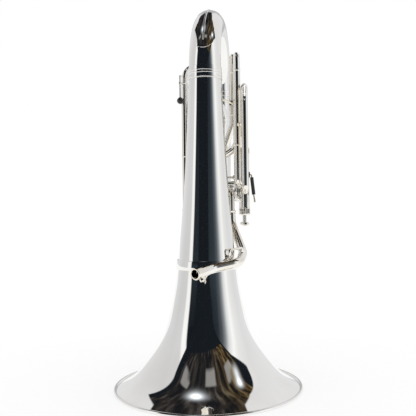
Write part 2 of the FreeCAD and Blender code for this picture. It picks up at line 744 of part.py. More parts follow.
def rod_guide():
    """The eye on the fixed sleeve that the pull rod slides through."""
    eye = V(*at(ROD_PLACE, GUIDE_Z - 3))
    sleeve_axis = V(*at(TUNING_NEAR, GUIDE_Z - 3))
    outer = ROD_RADIUS + 1.8
    ring_part = Part.makeCylinder(outer, 6, eye)
    along = sleeve_axis - eye
    web = Part.makeBox(along.Length, 3, 6, V(0, -1.5, 0))
    web.rotate(V(), V(0, 0, 1), math.degrees(math.atan2(along.y, along.x)))
    web.translate(eye)
    body = fused([ring_part, web])
    body = body.cut(Part.makeCylinder(SLEEVE_RADIUS + SEAT_GAP, 20, sleeve_axis - V(0, 0, 5)))
    return body.cut(Part.makeCylinder(ROD_RADIUS + RUNNING_FIT, 20, eye - V(0, 0, 5)))


def mouth_frame():
    """The receiver's end and the direction that its opening faces."""
    end = V(*MOUTH)
    facing = (end - V(*LEAD_CORNERS[0])).normalize()
    return end, facing


def leadpipe():
    """The large tube that sweeps from the receiver round the front of the bell."""
    end, facing = mouth_frame()
    start = end - facing * RECEIVER_DEPTH
    top = (LEAD_CORNERS[-1][0], LEAD_CORNERS[-1][1], LEAD_TOP_Z)
    return tube([tuple(start)] + list(LEAD_CORNERS) + [top], LEADPIPE_RADIUS, LEADPIPE_WALL, LEAD_BENDS)


def leadpipe_entry():
    """The small tube from the leadpipe's top round to the rear valve, with its reducing collar."""
    place = LEAD_CORNERS[-1][:2]
    y = VALVE_YS[0]
    route = [
        at(place, LEAD_TOP_Z - 14),
        at(place, PORT_Z),
        (place[0], ENTRY_BACK_Y, PORT_Z),
        (VALVE_X, ENTRY_BACK_Y, PORT_Z),
        (VALVE_X, y, PORT_Z),
    ]
    pipe = clear_of_valve(tube(route, TUBE_RADIUS, TUBE_WALL, ENTRY_BENDS), y)
    plug_radius = LEADPIPE_RADIUS - LEADPIPE_WALL - RUNNING_FIT
    inner = TUBE_RADIUS - TUBE_WALL / 2
    plug = tube([at(place, LEAD_TOP_Z - 12), at(place, LEAD_TOP_Z)], plug_radius, plug_radius - inner, ())
    rim = LEADPIPE_RADIUS + 1.2
    lid = tube([at(place, LEAD_TOP_Z), at(place, LEAD_TOP_Z + 6)], rim, rim - inner, ())
    return fused([pipe, plug, lid])


def receiver():
    """The collar that takes the neck bit, drilled for its screw."""
    end, facing = mouth_frame()
    back = facing * -1
    lap_radius = LEADPIPE_RADIUS + RUNNING_FIT
    length = RECEIVER_DEPTH + RECEIVER_LAP
    collar = Part.makeCylinder(RECEIVER_RADIUS, RECEIVER_COLLAR, end, back)
    tail = Part.makeCylinder(lap_radius + RECEIVER_SLEEVE_WALL, length, end, back)
    body = fused([collar, tail])
    body = body.cut(Part.makeCylinder(RECEIVER_BORE_RADIUS, length, end, back))
    body = body.cut(Part.makeCylinder(lap_radius, RECEIVER_LAP, end + back * RECEIVER_DEPTH, back))
    spot, outwards = screw_frame()
    return body.cut(Part.makeCylinder(SCREW_RADIUS + SCREW_FIT, 2 * RECEIVER_RADIUS, spot, outwards))


def screw_frame():
    """A point on the receiver's axis and the direction that its screw points, to the right and down."""
    end, facing = mouth_frame()
    sideways = V(0, 0, 1).cross(facing).normalize()
    down = sideways.cross(facing).normalize()
    if down.z > 0:
        down = down * -1
    if sideways.x < 0:
        sideways = sideways * -1
    return end - facing * SCREW_BACK, (sideways * 0.6 + down * 0.8).normalize()


def receiver_screw():
    """The thumbscrew that holds the neck bit."""
    spot, outwards = screw_frame()
    head_start = RECEIVER_RADIUS + 1
    tip = RECEIVER_BORE_RADIUS + SCREW_TIP_SHORT
    shank = Part.makeCylinder(SCREW_RADIUS, head_start - tip + 1, spot + outwards * tip, outwards)
    head = Part.makeCylinder(SCREW_HEAD_RADIUS, SCREW_HEAD_HEIGHT, spot + outwards * head_start, outwards)
    head = head.makeChamfer(0.8, [e for e in head.Edges if e.Curve.TypeId == "Part::GeomCircle"])
    return fused([shank, head])


def leadpipe_brace():
    """The arched brace between the bell and the leadpipe."""
    angle = math.radians(ARCH_FOOT_DEG)
    radial = V(math.cos(angle), math.sin(angle), 0)
    foot = radial * bell_radius(ARCH_FOOT_Z) + V(0, 0, ARCH_FOOT_Z)
    near = V(*LEAD_CORNERS[1])
    far = V(*LEAD_CORNERS[2])
    landing = near + (far - near) * ARCH_LANDING
    top = V(landing.x, landing.y, landing.z + LEADPIPE_RADIUS)
    out = foot + radial * 8
    route = [foot, out, out + V(0, 0, 20), top + V(0, 0, 10), top - V(0, 0, 3)]
    bar = rod(route, BRACE_RADIUS - 0.5, (4.5, 5, 4.5))
    pad = Part.makeCylinder(FLANGE_RADIUS, 3.5, foot - radial * 1.0, radial)
    pad_top = Part.makeCylinder(6.5, 4.5, top - V(0, 0, 2.5))
    body = fused([bar, pad, pad_top])
    along = far - near
    pipe = Part.makeCylinder(LEADPIPE_RADIUS + SEAT_GAP, along.Length, near, along)
    low = ARCH_FOOT_Z - 2 * FLANGE_RADIUS
    high = ARCH_FOOT_Z + 2 * FLANGE_RADIUS
    wide = bell_radius(low) + SEAT_GAP
    narrow = bell_radius(high) + SEAT_GAP
    bell = Part.makeCone(wide, narrow, high - low, V(0, 0, low))
    return body.cut(pipe).cut(bell)


def water_key_parts():
    """The lever with its cork, and the saddle with the pin that it turns on."""
    axis = V(VALVE_X, FEED_FRONT_Y, KEY_Z)
    face = TUBE_RADIUS + SEAT_GAP
    pin_y = axis.y - TUBE_RADIUS - KEY_STANDOFF
    half = KEY_WIDTH / 2
    cheeks = []
    for side in (-1, 1):
        start_x = axis.x + side * (half + 0.3) - (1.6 if side < 0 else 0)
        depth = axis.y - pin_y + 2.4
        cheek = Part.makeBox(1.6, depth, 6.0, V(start_x, pin_y - 2.4, KEY_Z - 3.0))
        cheeks.append(cheek)
    base = Part.makeBox(KEY_WIDTH + 3.8, 12, 6.0, V(axis.x - half - 1.9, axis.y - face - 0.6, KEY_Z - 3.0))
    saddle = fused(cheeks + [base])
    saddle = saddle.cut(Part.makeCylinder(face, 40, axis - V(0, 0, 20)))
    pin_start = V(axis.x - half - 1.9, pin_y, KEY_Z)
    pin = Part.makeCylinder(KEY_PIN_RADIUS, KEY_WIDTH + 3.8, pin_start, V(1, 0, 0))
    saddle = saddle.cut(pin)
    saddle = Part.makeCompound([max(saddle.Solids, key=lambda s: s.Volume), pin])

    low_z = KEY_Z - KEY_ARM
    nipple_y = axis.y - face
    lever_edges = [
        V(axis.x - half, pin_y - 1.9, low_z - 3),
        V(axis.x - half, pin_y + 1.2, low_z - 3),
        V(axis.x - half, pin_y + 1.9, KEY_Z),
        V(axis.x - half, pin_y - 1.0, KEY_Z + 9),
        V(axis.x - half, pin_y - 8.0, KEY_Z + 20),
        V(axis.x - half, pin_y - 10.2, KEY_Z + 19),
        V(axis.x - half, pin_y - 3.6, KEY_Z + 8),
    ]
    lever = Part.Face(Part.makePolygon(lever_edges + lever_edges[:1])).extrude(V(KEY_WIDTH, 0, 0))
    cork = Part.makeCylinder(3.6, 3.0, V(axis.x, nipple_y - 3.9, low_z), V(0, 1, 0))
    arm = Part.makeCylinder(2.0, nipple_y - 3.9 - pin_y, V(axis.x, pin_y, low_z), V(0, 1, 0))
    lever = fused([lever, cork, arm])
    pin_hole = Part.makeCylinder(KEY_PIN_RADIUS + RUNNING_FIT, 40, V(axis.x - 20, pin_y, KEY_Z), V(1, 0, 0))
    return lever.cut(pin_hole), saddle


def finger_hook():
    """The bent wire hook beside the front casing, and the rubber sleeve on its straight part."""
    y = FRONT_VALVE_Y
    root = V(VALVE_X + CASING_RADIUS - 1, y - 4, HOOK_TOP_Z)
    shoulder = V(VALVE_X + CASING_RADIUS + 5.5, y - 7, HOOK_TOP_Z)
    foot = V(*HOOK_FOOT)
    tip = V(*HOOK_TIP)
    bar = rod([root, shoulder, foot, tip], HOOK_RADIUS, (4.5, 7))
    knob = Part.makeSphere(HOOK_RADIUS + 0.7, tip)
    plate = Part.makeBox(4.0, 8.0, 16.0, V(VALVE_X + CASING_RADIUS - 2.6, y - 8.0, HOOK_TOP_Z - 8))
    body = fused([bar, knob, plate])
    body = clear_of_valve(body, y)
    body = max(body.Solids, key=lambda s: s.Volume)
    along = (foot - shoulder).normalize()
    start = shoulder + along * 8
    end = foot - along * 6
    cover_wall = HOOK_SLEEVE_RADIUS - HOOK_RADIUS - RUNNING_FIT
    return body, tube([start, end], HOOK_SLEEVE_RADIUS, cover_wall, ())


def braces():
    """Braces on the bell and branches, and small ones among the slides."""
    stem = (0.0, 0.0)
    slide_1_front = (SLIDE_1_X, SLIDE_1_FRONT_Y)
    slide_1_back = (SLIDE_1_X, SLIDE_1_BACK_Y)
    slide_3_front = (SLIDE_3_X, SLIDE_3_FRONT_Y)
    slide_3_back = (SLIDE_3_X, SLIDE_3_BACK_Y)
    feed_leg = (HIDDEN_LEG_X, FEED_BACK_Y)
    feed_front = (VALVE_X, FEED_FRONT_Y)

    def wide(radius, z):
        """The widest radius under a brace's foot on a tube that narrows upwards."""
        return radius(z - BRACE_SLANT)

    rear_foot = rear_radius(REAR_BRACE_Z + BRACE_SLANT)
    third_foot = wide(third_radius, THIRD_BRACE_Z)
    large = [
        brace(stem, wide(bell_radius, BELL_BRACE_Z), slide_1_front, SLEEVE_RADIUS, BELL_BRACE_Z),
        brace(stem, wide(bell_radius, THIRD_BRACE_Z), THIRD_BRANCH, third_foot, THIRD_BRACE_Z),
        brace(stem, wide(bell_radius, FEED_BRACE_Z), feed_leg, TUBE_RADIUS, FEED_BRACE_Z),
        brace(THIRD_BRANCH, wide(third_radius, REAR_BRACE_Z), REAR_BRANCH, rear_foot, REAR_BRACE_Z),
        brace(TUNING_NEAR, SLEEVE_RADIUS, THIRD_BRANCH, wide(third_radius, TUNING_BRACE_Z), TUNING_BRACE_Z),
    ]
    small = [
        brace(feed_leg, TUBE_RADIUS, slide_3_front, TUBE_RADIUS, HIDDEN_BRACE_Z),
        brace(feed_front, TUBE_RADIUS, slide_3_front, SLEEVE_RADIUS, FRONT_BRACE_Z),
        brace(TUNING_NEAR, SLEEVE_RADIUS, TUNING_FAR, SLEEVE_RADIUS, TUNING_PAIR_Z),
        brace(slide_3_front, SLEEVE_RADIUS, slide_3_back, SLEEVE_RADIUS, SLIDE_3_PAIR_Z),
        brace(slide_1_front, SLEEVE_RADIUS, slide_1_back, SLEEVE_RADIUS, SLIDE_1_PAIR_Z),
    ]
    return Part.makeCompound(large), Part.makeCompound(small)


def bell_nodes():
    """The bell in two parts with its collar, bead and ferrule."""
    joint_z = BELL_FLARE[-1][0]
    low = joint_z - COLLAR_BELOW
    high = joint_z + COLLAR_ABOVE
    collar_low = bell_radius(low) + COLLAR_GAP
    collar_high = bell_radius(high) + COLLAR_GAP
    foot = BOW_SPRING_Z - BOW_FERRULE_LENGTH
    bore_low = bell_radius(foot) + COLLAR_GAP
    bore_high = STEM_TOP_RADIUS + COLLAR_GAP
    rings = [foot + rise for rise in BOW_FERRULE_RINGS]
    return {
        "bell_flare": bell_part(BELL_FLARE, BELL_WALL),
        "bell_stem": bell_part(BELL_STEM, BELL_WALL),
        "bell_collar": band((0, 0), low, high, collar_low, collar_high, COLLAR_STEP),
        "bell_rim_bead": rim_bead(),
        "bow_ferrule": band((0, 0), foot, BOW_SPRING_Z, bore_low, bore_high, FERRULE_WALL, rings),
    }


def bow_nodes():
    """Top bow to fourth branch, widest first."""
    front = (0.0, 0.0)
    rear_bore = REAR_TOP_RADIUS + REAR_FERRULE_GAP
    ferrule_foot = BOW_SPRING_Z - REAR_FERRULE_LENGTH
    return {
        "top_bow": tapered_bow(
            front, REAR_BRANCH, BOW_SPRING_Z, 1, STEM_TOP_RADIUS, REAR_TOP_RADIUS, BRANCH_WALL
        ),
        "bow_guard": guard(),
        "rear_ferrule": band(REAR_BRANCH, ferrule_foot, BOW_SPRING_Z, rear_bore, rear_bore, FERRULE_WALL),
        "rear_branch": taper(
            REAR_BRANCH, BOTTOM_SPRING_Z, BOW_SPRING_Z, REAR_FOOT_RADIUS, REAR_TOP_RADIUS, BRANCH_WALL
        ),
        "bottom_bow": tapered_bow(
            REAR_BRANCH, THIRD_BRANCH, BOTTOM_SPRING_Z, -1, REAR_FOOT_RADIUS, THIRD_FOOT_RADIUS, BRANCH_WALL
        ),
        "third_branch": taper(
            THIRD_BRANCH, BOTTOM_SPRING_Z, INNER_SPRING_Z, THIRD_FOOT_RADIUS, THIRD_TOP_RADIUS, BRANCH_WALL
        ),
        "inner_top_bow": tapered_bow(
            THIRD_BRANCH, FOURTH_BRANCH, INNER_SPRING_Z, 1, THIRD_TOP_RADIUS, FOURTH_TOP_RADIUS, BRANCH_WALL
        ),
        "fourth_branch": taper(
            FOURTH_BRANCH, FOURTH_FOOT_Z, INNER_SPRING_Z, SLEEVE_RADIUS, FOURTH_TOP_RADIUS, SLEEVE_WALL
        ),
        "return_bow": return_bow(),
        "branch_ferrules": branch_ferrules(),
    }


def all_nodes():
    """Every node's shape by its name."""
    nodes = bell_nodes()
    nodes.update(bow_nodes())
    nodes.update(valve_nodes())
    nodes["valve_knuckles"] = knuckles()
    nodes["slide_1_tubes"], nodes["valve_slide_1"] = slide_1()
    nodes["slide_2_tubes"], nodes["valve_slide_2"] = slide_2()
    nodes["slide_3_tubes"], nodes["valve_slide_3"] = slide_3()
    nodes["feed_tube"] = feed_tube()
    nodes["tuning_sleeves"] = tuning_sleeves()
    nodes["main_tuning_slide"] = slide_bow(TUNING_NEAR, TUNING_FAR, TUNING_LEG_Z, TUNING_CROWN_Z)
    nodes["pull_rod"] = pull_rod()
    nodes["pull_knob"] = pull_knob()
    nodes["rod_guide"] = rod_guide()
    nodes["leadpipe"] = leadpipe()
    nodes["leadpipe_entry"] = leadpipe_entry()
    nodes["mouthpiece_receiver"] = receiver()
    nodes["receiver_screw"] = receiver_screw()
    nodes["leadpipe_brace"] = leadpipe_brace()
    nodes["water_key"], nodes["water_key_saddle"] = water_key_parts()
    nodes["finger_hook"], nodes["hook_sleeve"] = finger_hook()
    nodes["bell_braces"], nodes["slide_braces"] = braces()
    return nodes


def main():
    os.makedirs("parts", exist_ok=True)
    for name, shape in all_nodes().items():
        solids = len(shape.Solids)
        if not solids or not shape.isValid():
            print(f"{name}: {solids} solids, valid {shape.isValid()}")
        shape.exportStep(f"parts/{name}.step")


main()
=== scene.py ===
import json
import math

import bmesh
import bpy
import numpy as np
from bpy.props import FloatProperty, FloatVectorProperty, IntProperty, PointerProperty
from mathutils import Matrix, Vector


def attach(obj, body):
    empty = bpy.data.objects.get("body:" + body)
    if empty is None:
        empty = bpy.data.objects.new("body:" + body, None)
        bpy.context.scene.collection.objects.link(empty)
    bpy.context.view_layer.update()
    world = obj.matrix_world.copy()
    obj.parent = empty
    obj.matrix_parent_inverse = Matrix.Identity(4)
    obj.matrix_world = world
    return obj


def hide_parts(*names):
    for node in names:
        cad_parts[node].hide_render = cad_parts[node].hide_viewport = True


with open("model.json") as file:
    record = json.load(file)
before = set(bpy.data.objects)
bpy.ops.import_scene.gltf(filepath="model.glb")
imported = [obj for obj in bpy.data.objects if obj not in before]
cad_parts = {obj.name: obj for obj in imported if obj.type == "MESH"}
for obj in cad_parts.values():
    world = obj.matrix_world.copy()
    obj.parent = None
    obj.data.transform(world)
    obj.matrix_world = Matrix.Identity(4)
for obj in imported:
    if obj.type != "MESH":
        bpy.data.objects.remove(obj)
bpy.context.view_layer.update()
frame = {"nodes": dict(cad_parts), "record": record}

bl_info = {
    "name": "Marching tuba",
    "version": (1, 0, 0),
    "blender": (4, 5, 0),
    "location": "View3D > Sidebar > Tuba",
    "description": "Dresses the packed marching tuba in polished silver and sets it on a pale studio floor",
    "category": "Object",
}

# Sizes are in millimetres, which MM turns into metres, but settings, floor and softbox are in metres
MM = 0.001
FOLD_ANGLE = math.radians(33)
WELD_DISTANCE = 0.002 * MM

# Bell: its outlines are pairs of height and outer radius
RIM_RADIUS = 254.0
RIM_BEAD = 4.0
RIM_HEIGHT = 3.4
RIM_STEPS = 28
FLARE_OUTLINE = (
    (4.0, RIM_RADIUS - 2 * RIM_BEAD), (26.0, 208.0), (70.0, 166.0), (135.0, 122.0), (200.0, 101.5),
    (265.0, 88.0), (331.0, 78.5),
)
STEM_TOP = 43.5
BOW_SPRING = 863.5
STEM_OUTLINE = (FLARE_OUTLINE[-1], (450.0, 67.0), (640.0, 54.0), (BOW_SPRING, STEM_TOP))
FLARE_SAMPLES = 110
STEM_SAMPLES = 60

# Collar over the joint of flare and stem: its ends as pairs of distance out and along
COLLAR = (319.0, 344.0)
COLLAR_FOOT = ((0.0, 0.0), (3.0, 0.0), (3.8, 0.6), (4.0, 1.6))
COLLAR_HEAD = ((4.0, 1.6), (3.7, 0.5), (3.0, 0.0), (0.0, 0.0))

# Ferrules
FERRULE_GAP = 0.4
FERRULE_WALL = 1.2
BOW_FERRULE_LENGTH = 33.0
BOW_FERRULE_RINGS = (2.0, 14.0, 21.0)
BOW_FERRULE_SIDES = 160
RING_SEAT = 1.5
RING_PROUD = 0.9
RING_HALF = 1.2
RING_STEPS = 8
REAR_FERRULE_RADIUS = 39.2
REAR_FERRULE_LENGTH = 20.0
REAR_FERRULE_RINGS = (17.0, 4.0)
REAR_FERRULE_SIDES = 96
BRANCH_FERRULE_WALL = 1.1
BRANCH_FERRULE_RADII = (33.5, 31.5, 27.1, 22.8)
BRANCH_FERRULE_LENGTH = 18.0
BRANCH_FERRULE_LAP = 3.0
BRANCH_FERRULE_RING = 2.5

# Bows and branches: places in plan, heights and outer radii
FRONT = (0.0, 0.0)
BOW_REACH = 320.0
BOW_TURN = math.radians(7.0)
REAR = (BOW_REACH * math.sin(BOW_TURN), BOW_REACH * math.cos(BOW_TURN))
THIRD = (-18.0, 188.0)
FOURTH = (45.0, 250.0)
BOTTOM_SPRING = 430.0
INNER_SPRING = 760.0
FOURTH_FOOT_Z = 560.0
REAR_TOP = 37.5
REAR_FOOT = 32.0
THIRD_FOOT = 30.0
THIRD_TOP = 25.5
FOURTH_TOP = 22.0
BOW_WALL = 0.8
THIN_WALL = 0.6
TOP_BOW_STEPS = 96
INNER_SIDES = 72
FOURTH_SIDES = 64

# Guard plate over the top bow, and its rib
GUARD_HALF_WIDTH = 27.0
GUARD_FOOT_Z = 911.0
GUARD_LIFT = 1.3
GUARD_FLOOR = 0.15
GUARD_ROWS = 25
RIB_HALF_WIDTH = 2.4
RIB_FOOT_Z = 934.0
RIB_EDGE = 1.2
RIB_CROWN = 1.8
RIB_FLOOR = 1.0
RIB_ROWS = 13
GUARD_STEPS = 110
GUARD_EASE = 0.5

# Valves: places along Y from the back, and turned outlines as pairs of radius and height
VALVE_X = 109.0
VALVE_YS = {1: 188.0, 2: 144.0, 3: 100.0}
VALVE_SIDES = 64
CASING_FOOT = 466.0
CASING_TOP = 655.0
CASING_RADIUS = 13.5
CASING_BORE = 11.8
CASING = (
    (CASING_BORE, CASING_FOOT), (CASING_RADIUS, CASING_FOOT),
    (CASING_RADIUS, CASING_TOP), (CASING_BORE, CASING_TOP),
)
CAP_BORE = 13.65
CAP_BODY = 14.3
CAP_BEAD = 14.95
STEM_HOLE = 3.6
STEM_CAP = (
    (STEM_HOLE, 462.0), (13.6, 462.0), (14.6, 462.6), (CAP_BEAD, 463.6), (CAP_BEAD, 466.0), (CAP_BODY, 466.8),
    (CAP_BODY, 480.2), (CAP_BEAD, 481.0), (CAP_BEAD, 483.2), (CAP_BODY, 484.0), (CAP_BORE, 484.0),
    (CAP_BORE, CASING_FOOT), (STEM_HOLE, CASING_FOOT),
)
END_CAP = (
    (CAP_BORE, 637.0), (14.4, 637.0), (CAP_BEAD, 637.8), (CAP_BEAD, 640.0), (CAP_BODY, 640.8),
    (CAP_BODY, 652.6), (CAP_BEAD, 653.4), (CAP_BEAD, CASING_TOP),
)
END_CAP_DOME = 4.0
STEM_CAP_GRIP = (473.5, 13.2)
END_CAP_GRIP = (646.7, 11.2)
GRIP_COUNT = 52
GRIP_RADIUS = 14.25
GRIP_WIDTH = 0.62
BUTTON_RADIUS = 11.0
BUTTON = (
    (0, 441.0), (8.5, 441.0), (9.8, 440.6), (10.7, 439.7), (BUTTON_RADIUS, 438.5), (BUTTON_RADIUS, 435.0),
)
BUTTON_LOW_Z = 429.0
BUTTON_CROWN = 6.0
BUTTON_SIDES = 56
DOME_STEPS = 12

# Small tubing: outer radii, ports and the sleeves that slides run in
TUBE = 9.45
SLEEVE = 10.1
PORT_Z = 532.0
UPPER_Z = 553.0
LOWER_Z = 511.0
KNUCKLE_GAP = 13.2
SLEEVE_LAP = 18.0
SLEEVE_RING_INSET = 3.2
SLEEVE_RING = (3.0, 0.8)

# First valve slide
SLIDE_1_X = 79.0
SLIDE_1_YS = (166.0, 210.0)
SLIDE_1_SLEEVE = (760.0, 893.0)
SLIDE_1_INNER_X = 44.0
SLIDE_1_TURN_X = 70.0
SLIDE_1_LEAN = (640.0, 735.0)
SLIDE_1_START = 12.0
SLIDE_1_BENDS = (20, 16, 40, 40)
SLIDE_1_BOW = (790.0, 951.0)

# Second valve slide
SLIDE_2_SLEEVE = (96.5, 48.0)
SLIDE_2_BOW = (90.0, 23.0)

# Third valve slide
SLIDE_3_X = 88.5
SLIDE_3_YS = (80.0, 122.0)
SLIDE_3_SLEEVE = (660.0, 880.0)
SLIDE_3_START = 12.5
SLIDE_3_BEND = 10.8
SLIDE_3_BOW = (770.0, 933.0)

# Main tuning slide
TUNING_NEAR = (-67.0, 200.0)
TUNING_FAR = (-7.0, 262.0)
TUNING_FEET = (640.0, 700.0)
TUNING_HEAD = 870.0
TUNING_BOW = (750.0, 930.0)
RETURN_LAP = 9.0
KNOB_PLACE = (-80.0, 184.0)
KNOB_RADIUS = 10.0
KNOB_Z = 811.0
KNOB_SHARE = 0.855
KNOB_STEPS = 26
KNOB_NECK = ((3.8, 820.2), (3.8, 821.0), (0, 821.0))
KNOB_SIDES = 56

# Feed tube, from the front valve to the main tuning slide
FEED_START_Y = 87.5
FEED_YS = (59.0, 101.0)
FEED_TOP_Z = 838.0
FEED_LOW_Z = 478.0
FEED_RING_Z = 812.0
FEED_RING = (4.0, 0.9)
FEED_LEAN = ((707.0, VALVE_X), (650.0, 76.0), (630.0, 44.0))
FEED_BEHIND = ((-30.0, 112.0), (-67.0, 160.0), TUNING_NEAR)
FEED_BENDS = (14, 21, 21, 22, 22, 18, 25, 30, 24, 18)

# Leadpipe, from the receiver's mouth to the rear valve
MOUTH = Vector((-27.0, -158.0, 319.0))
LEAD_TOP = (69.0, 90.0)
LEAD_CORNERS = ((15.0, -103.0, 327.4), (86.0, -72.0, 340.0), (99.0, 12.0, 358.0), (*LEAD_TOP, 440.0))
LEAD_HEAD_Z = 470.0
LEAD_BENDS = (50, 45, 50, 40)
LEAD_RADIUS = 12.0
LEAD_WALL = 1.0
LEAD_SIDES = 64
FACING = (MOUTH - Vector(LEAD_CORNERS[0])).normalized()
ENTRY_FOOT_Z = 456.0
ENTRY_Y = 234.0
ENTRY_END_Y = 200.5
ENTRY_BENDS = (20, 19, 16)
ENTRY_RING = ((0.0, 12.6), (1.0, 13.2), (5.0, 13.2), (6.0, 12.0))

# Receiver: distance back from its mouth and outer radius
RECEIVER_DEPTH = 22.0
RECEIVER_STEPS = (
    (0, 14.2), (0.8, 15.0), (19.0, 15.0), (20.0, 14.2), (20.0, 13.4), (35.0, 13.3), (36.0, 12.9),
)
RECEIVER_WALL = 0.8
RECEIVER_LINER = 13.6
RECEIVER_LINER_WALL = 2.1
RECEIVER_LIP = 0.3

# Light round the room, from behind the object through its left, the camera side and its right
RING_LIGHT = (
    (0.0, (0.46, 0.46, 0.47)), (0.03, (0.48, 0.48, 0.49)), (0.05, (0.79, 0.79, 0.80)),
    (0.10, (0.76, 0.76, 0.77)), (0.22, (0.66, 0.66, 0.67)), (0.285, (0.68, 0.68, 0.69)),
    (0.300, (1.0, 1.0, 1.0)), (0.330, (1.0, 1.0, 1.0)), (0.340, (0.008, 0.010, 0.013)),
    (0.44, (0.008, 0.011, 0.015)), (0.52, (0.011, 0.015, 0.020)), (0.585, (0.022, 0.030, 0.038)),
    (0.618, (0.08, 0.092, 0.105)), (0.642, (0.26, 0.275, 0.29)), (0.668, (0.72, 0.74, 0.75)),
    (0.70, (1.0, 1.0, 1.0)), (0.735, (0.84, 0.84, 0.84)), (0.80, (0.75, 0.75, 0.76)),
    (0.90, (0.79, 0.79, 0.80)), (0.95, (0.79, 0.79, 0.80)), (0.97, (0.48, 0.48, 0.49)),
    (1.0, (0.46, 0.46, 0.47)),
)
HAZE_COLOUR = (0.6, 0.85, 1.0)
HAZE_SHARE = 0.03
HAZE_RISE = (0.05, 0.3)

# Ceiling, in distances across and back for each unit of height above the object
CEILING_SOFT = 0.04
CEILING_LOWEST = 0.001
CEILING_LEFT = -0.93
CEILING_LEFT_LEAN = 0.56
CEILING_LEFT_BEND = -0.17
CEILING_RIGHT = 1.0
CEILING_RIGHT_LEAN = 0.38
CEILING_RIGHT_BEND = -0.45
CEILING_REAR = (
    (-1.7, 1.0), (-0.90, 0.69), (-0.56, 0.62), (-0.35, 0.95), (0.15, 0.95), (0.35, 0.38), (0.62, 0.20),
    (1.2, 0.17), (1.7, 0.30),
)
CEILING_DARK = (0.009, 0.012, 0.016)

# The lit field on the ceiling: its bounds, shades, panels and lamps
FIELD_LEFT = -0.77
FIELD_RIGHT = 0.90
FIELD_FRONT = -1.0
FIELD_SLOPE = -0.30
FIELD_GOLD_FROM = (0.1, 0.7)
FIELD_STREAKS = (3.2, 0.7, 1)
FIELD_BROWN = ((0.42, (0.010, 0.011, 0.013)), (0.54, (0.026, 0.023, 0.022)), (0.70, (0.085, 0.078, 0.072)))
FIELD_GOLD = ((0.40, (0.012, 0.011, 0.010)), (0.52, (0.085, 0.055, 0.020)), (0.66, (0.24, 0.18, 0.09)))
PANEL_PLACES = ((-0.56, -0.36), (0.06, -0.50), (0.60, -0.42))
PANEL_HALF = (0.14, 0.08)
PANEL_COLOUR = (0.34, 0.33, 0.32)
PANEL_SHARE = 0.8
CEILING_LAMPS = ((-0.20, -0.16, 0.05, 0.36), (0.74, -0.20, 0.03, 0.26))
LAMP_COLOUR = (1.5, 1.6, 1.7)
LAMP_FALL = 4.0

# Floor and softbox, in metres
FLOOR_HALF = 12.0
FLOOR_WHITE = (0.66, 1.0)
FLOOR_WHITE_REACH = (0.3, 0.9)
SOFTBOX_PLACE = (0.3, -0.2, 2.6)
SOFTBOX_SIZE = 1.6
SOFTBOX_WATTS = 6.0


# Settings


def tint(name, text, default):
    return FloatVectorProperty(
        name=name, description=text, subtype="COLOR", size=3, min=0, max=1, default=default
    )


def length_setting(name, text, default, low, high):
    return FloatProperty(name=name, description=text, default=default, min=low, max=high, unit="LENGTH")


def count_setting(name, text, default, low, high):
    return IntProperty(name=name, description=text, default=default, min=low, max=high)


def angle_setting(name, text, degrees):
    return FloatProperty(name=name, description=text, default=math.radians(degrees), subtype="ANGLE")


class TUBA_Sizes(bpy.types.PropertyGroup):
    bell_wall: length_setting("Bell wall", "Thickness of the bell's sheet", 0.0009, 0.0004, 0.002)
    tube_wall: length_setting("Tube wall", "Thickness of the small tubes", 0.0007, 0.0004, 0.002)
    tube_sides: count_setting("Tube sides", "Faces around a small tube", 40, 12, 96)
    bow_sides: count_setting("Bow sides", "Faces around a large bow", 112, 32, 192)
    bell_sides: count_setting("Bell sides", "Faces around the bell", 224, 64, 360)


class TUBA_Colours(bpy.types.PropertyGroup):
    silver: tint("Silver", "Colour of the polished plate", (0.955, 0.948, 0.93))
    silver_dull: tint("Dulled silver", "Colour where the plate has dulled a little", (0.90, 0.888, 0.862))
    silver_warm: tint("Warm silver", "Colour where the small tubes have tarnished", (0.87, 0.80, 0.67))
    alloy: tint("Piston alloy", "Colour of pistons, stems and springs", (0.62, 0.60, 0.56))
    knob: tint("Knob", "Colour of the pull knob", (0.012, 0.012, 0.014))
    rubber: tint("Rubber", "Colour of the finger hook's sleeve", (0.02, 0.02, 0.021))
    floor: tint("Floor", "Colour of the floor", (0.93, 0.93, 0.93))


class TUBA_Stage(bpy.types.PropertyGroup):
    distance: length_setting("Camera distance", "From the bell's axis to the camera", 1.608, 0.8, 6)
    height: length_setting("Camera height", "Above the floor", 0.467, 0.05, 3)
    side: length_setting(
        "Camera side", "How far the camera stands to the right of the bell's axis", 0.035, -1, 1
    )
    pitch: angle_setting("Pitch", "Tilt of the camera above level", 0.55)
    roll: angle_setting("Roll", "Turn of the camera about its view", -0.66)
    shift: FloatProperty(
        name="Shift", description="Sideways lens shift that brings the object back to the middle",
        default=-0.0274, min=-0.5, max=0.5,
    )
    lens: FloatProperty(
        name="Lens", description="Focal length on a 36 mm wide frame, in millimetres",
        default=51.2, min=20, max=200,
    )


# Materials


def add_node(tree, kind, inputs=(), **settings):
    """A new node with its settings, and its inputs linked to a socket or set to a value."""
    made = tree.nodes.new(kind)
    for name, value in settings.items():
        setattr(made, name, value)
    for name, value in dict(inputs).items():
        if isinstance(value, bpy.types.NodeSocket):
            tree.links.new(value, made.inputs[name])
        else:
            made.inputs[name].default_value = value
    return made


def new_material(name):
    mat = bpy.data.materials.new(name)
    mat.use_nodes = True
    nodes = mat.node_tree.nodes
    nodes.clear()
    out = nodes.new("ShaderNodeOutputMaterial")
    shader = nodes.new("ShaderNodeBsdfPrincipled")
    mat.node_tree.links.new(shader.outputs["BSDF"], out.inputs["Surface"])
    return mat, mat.node_tree, shader


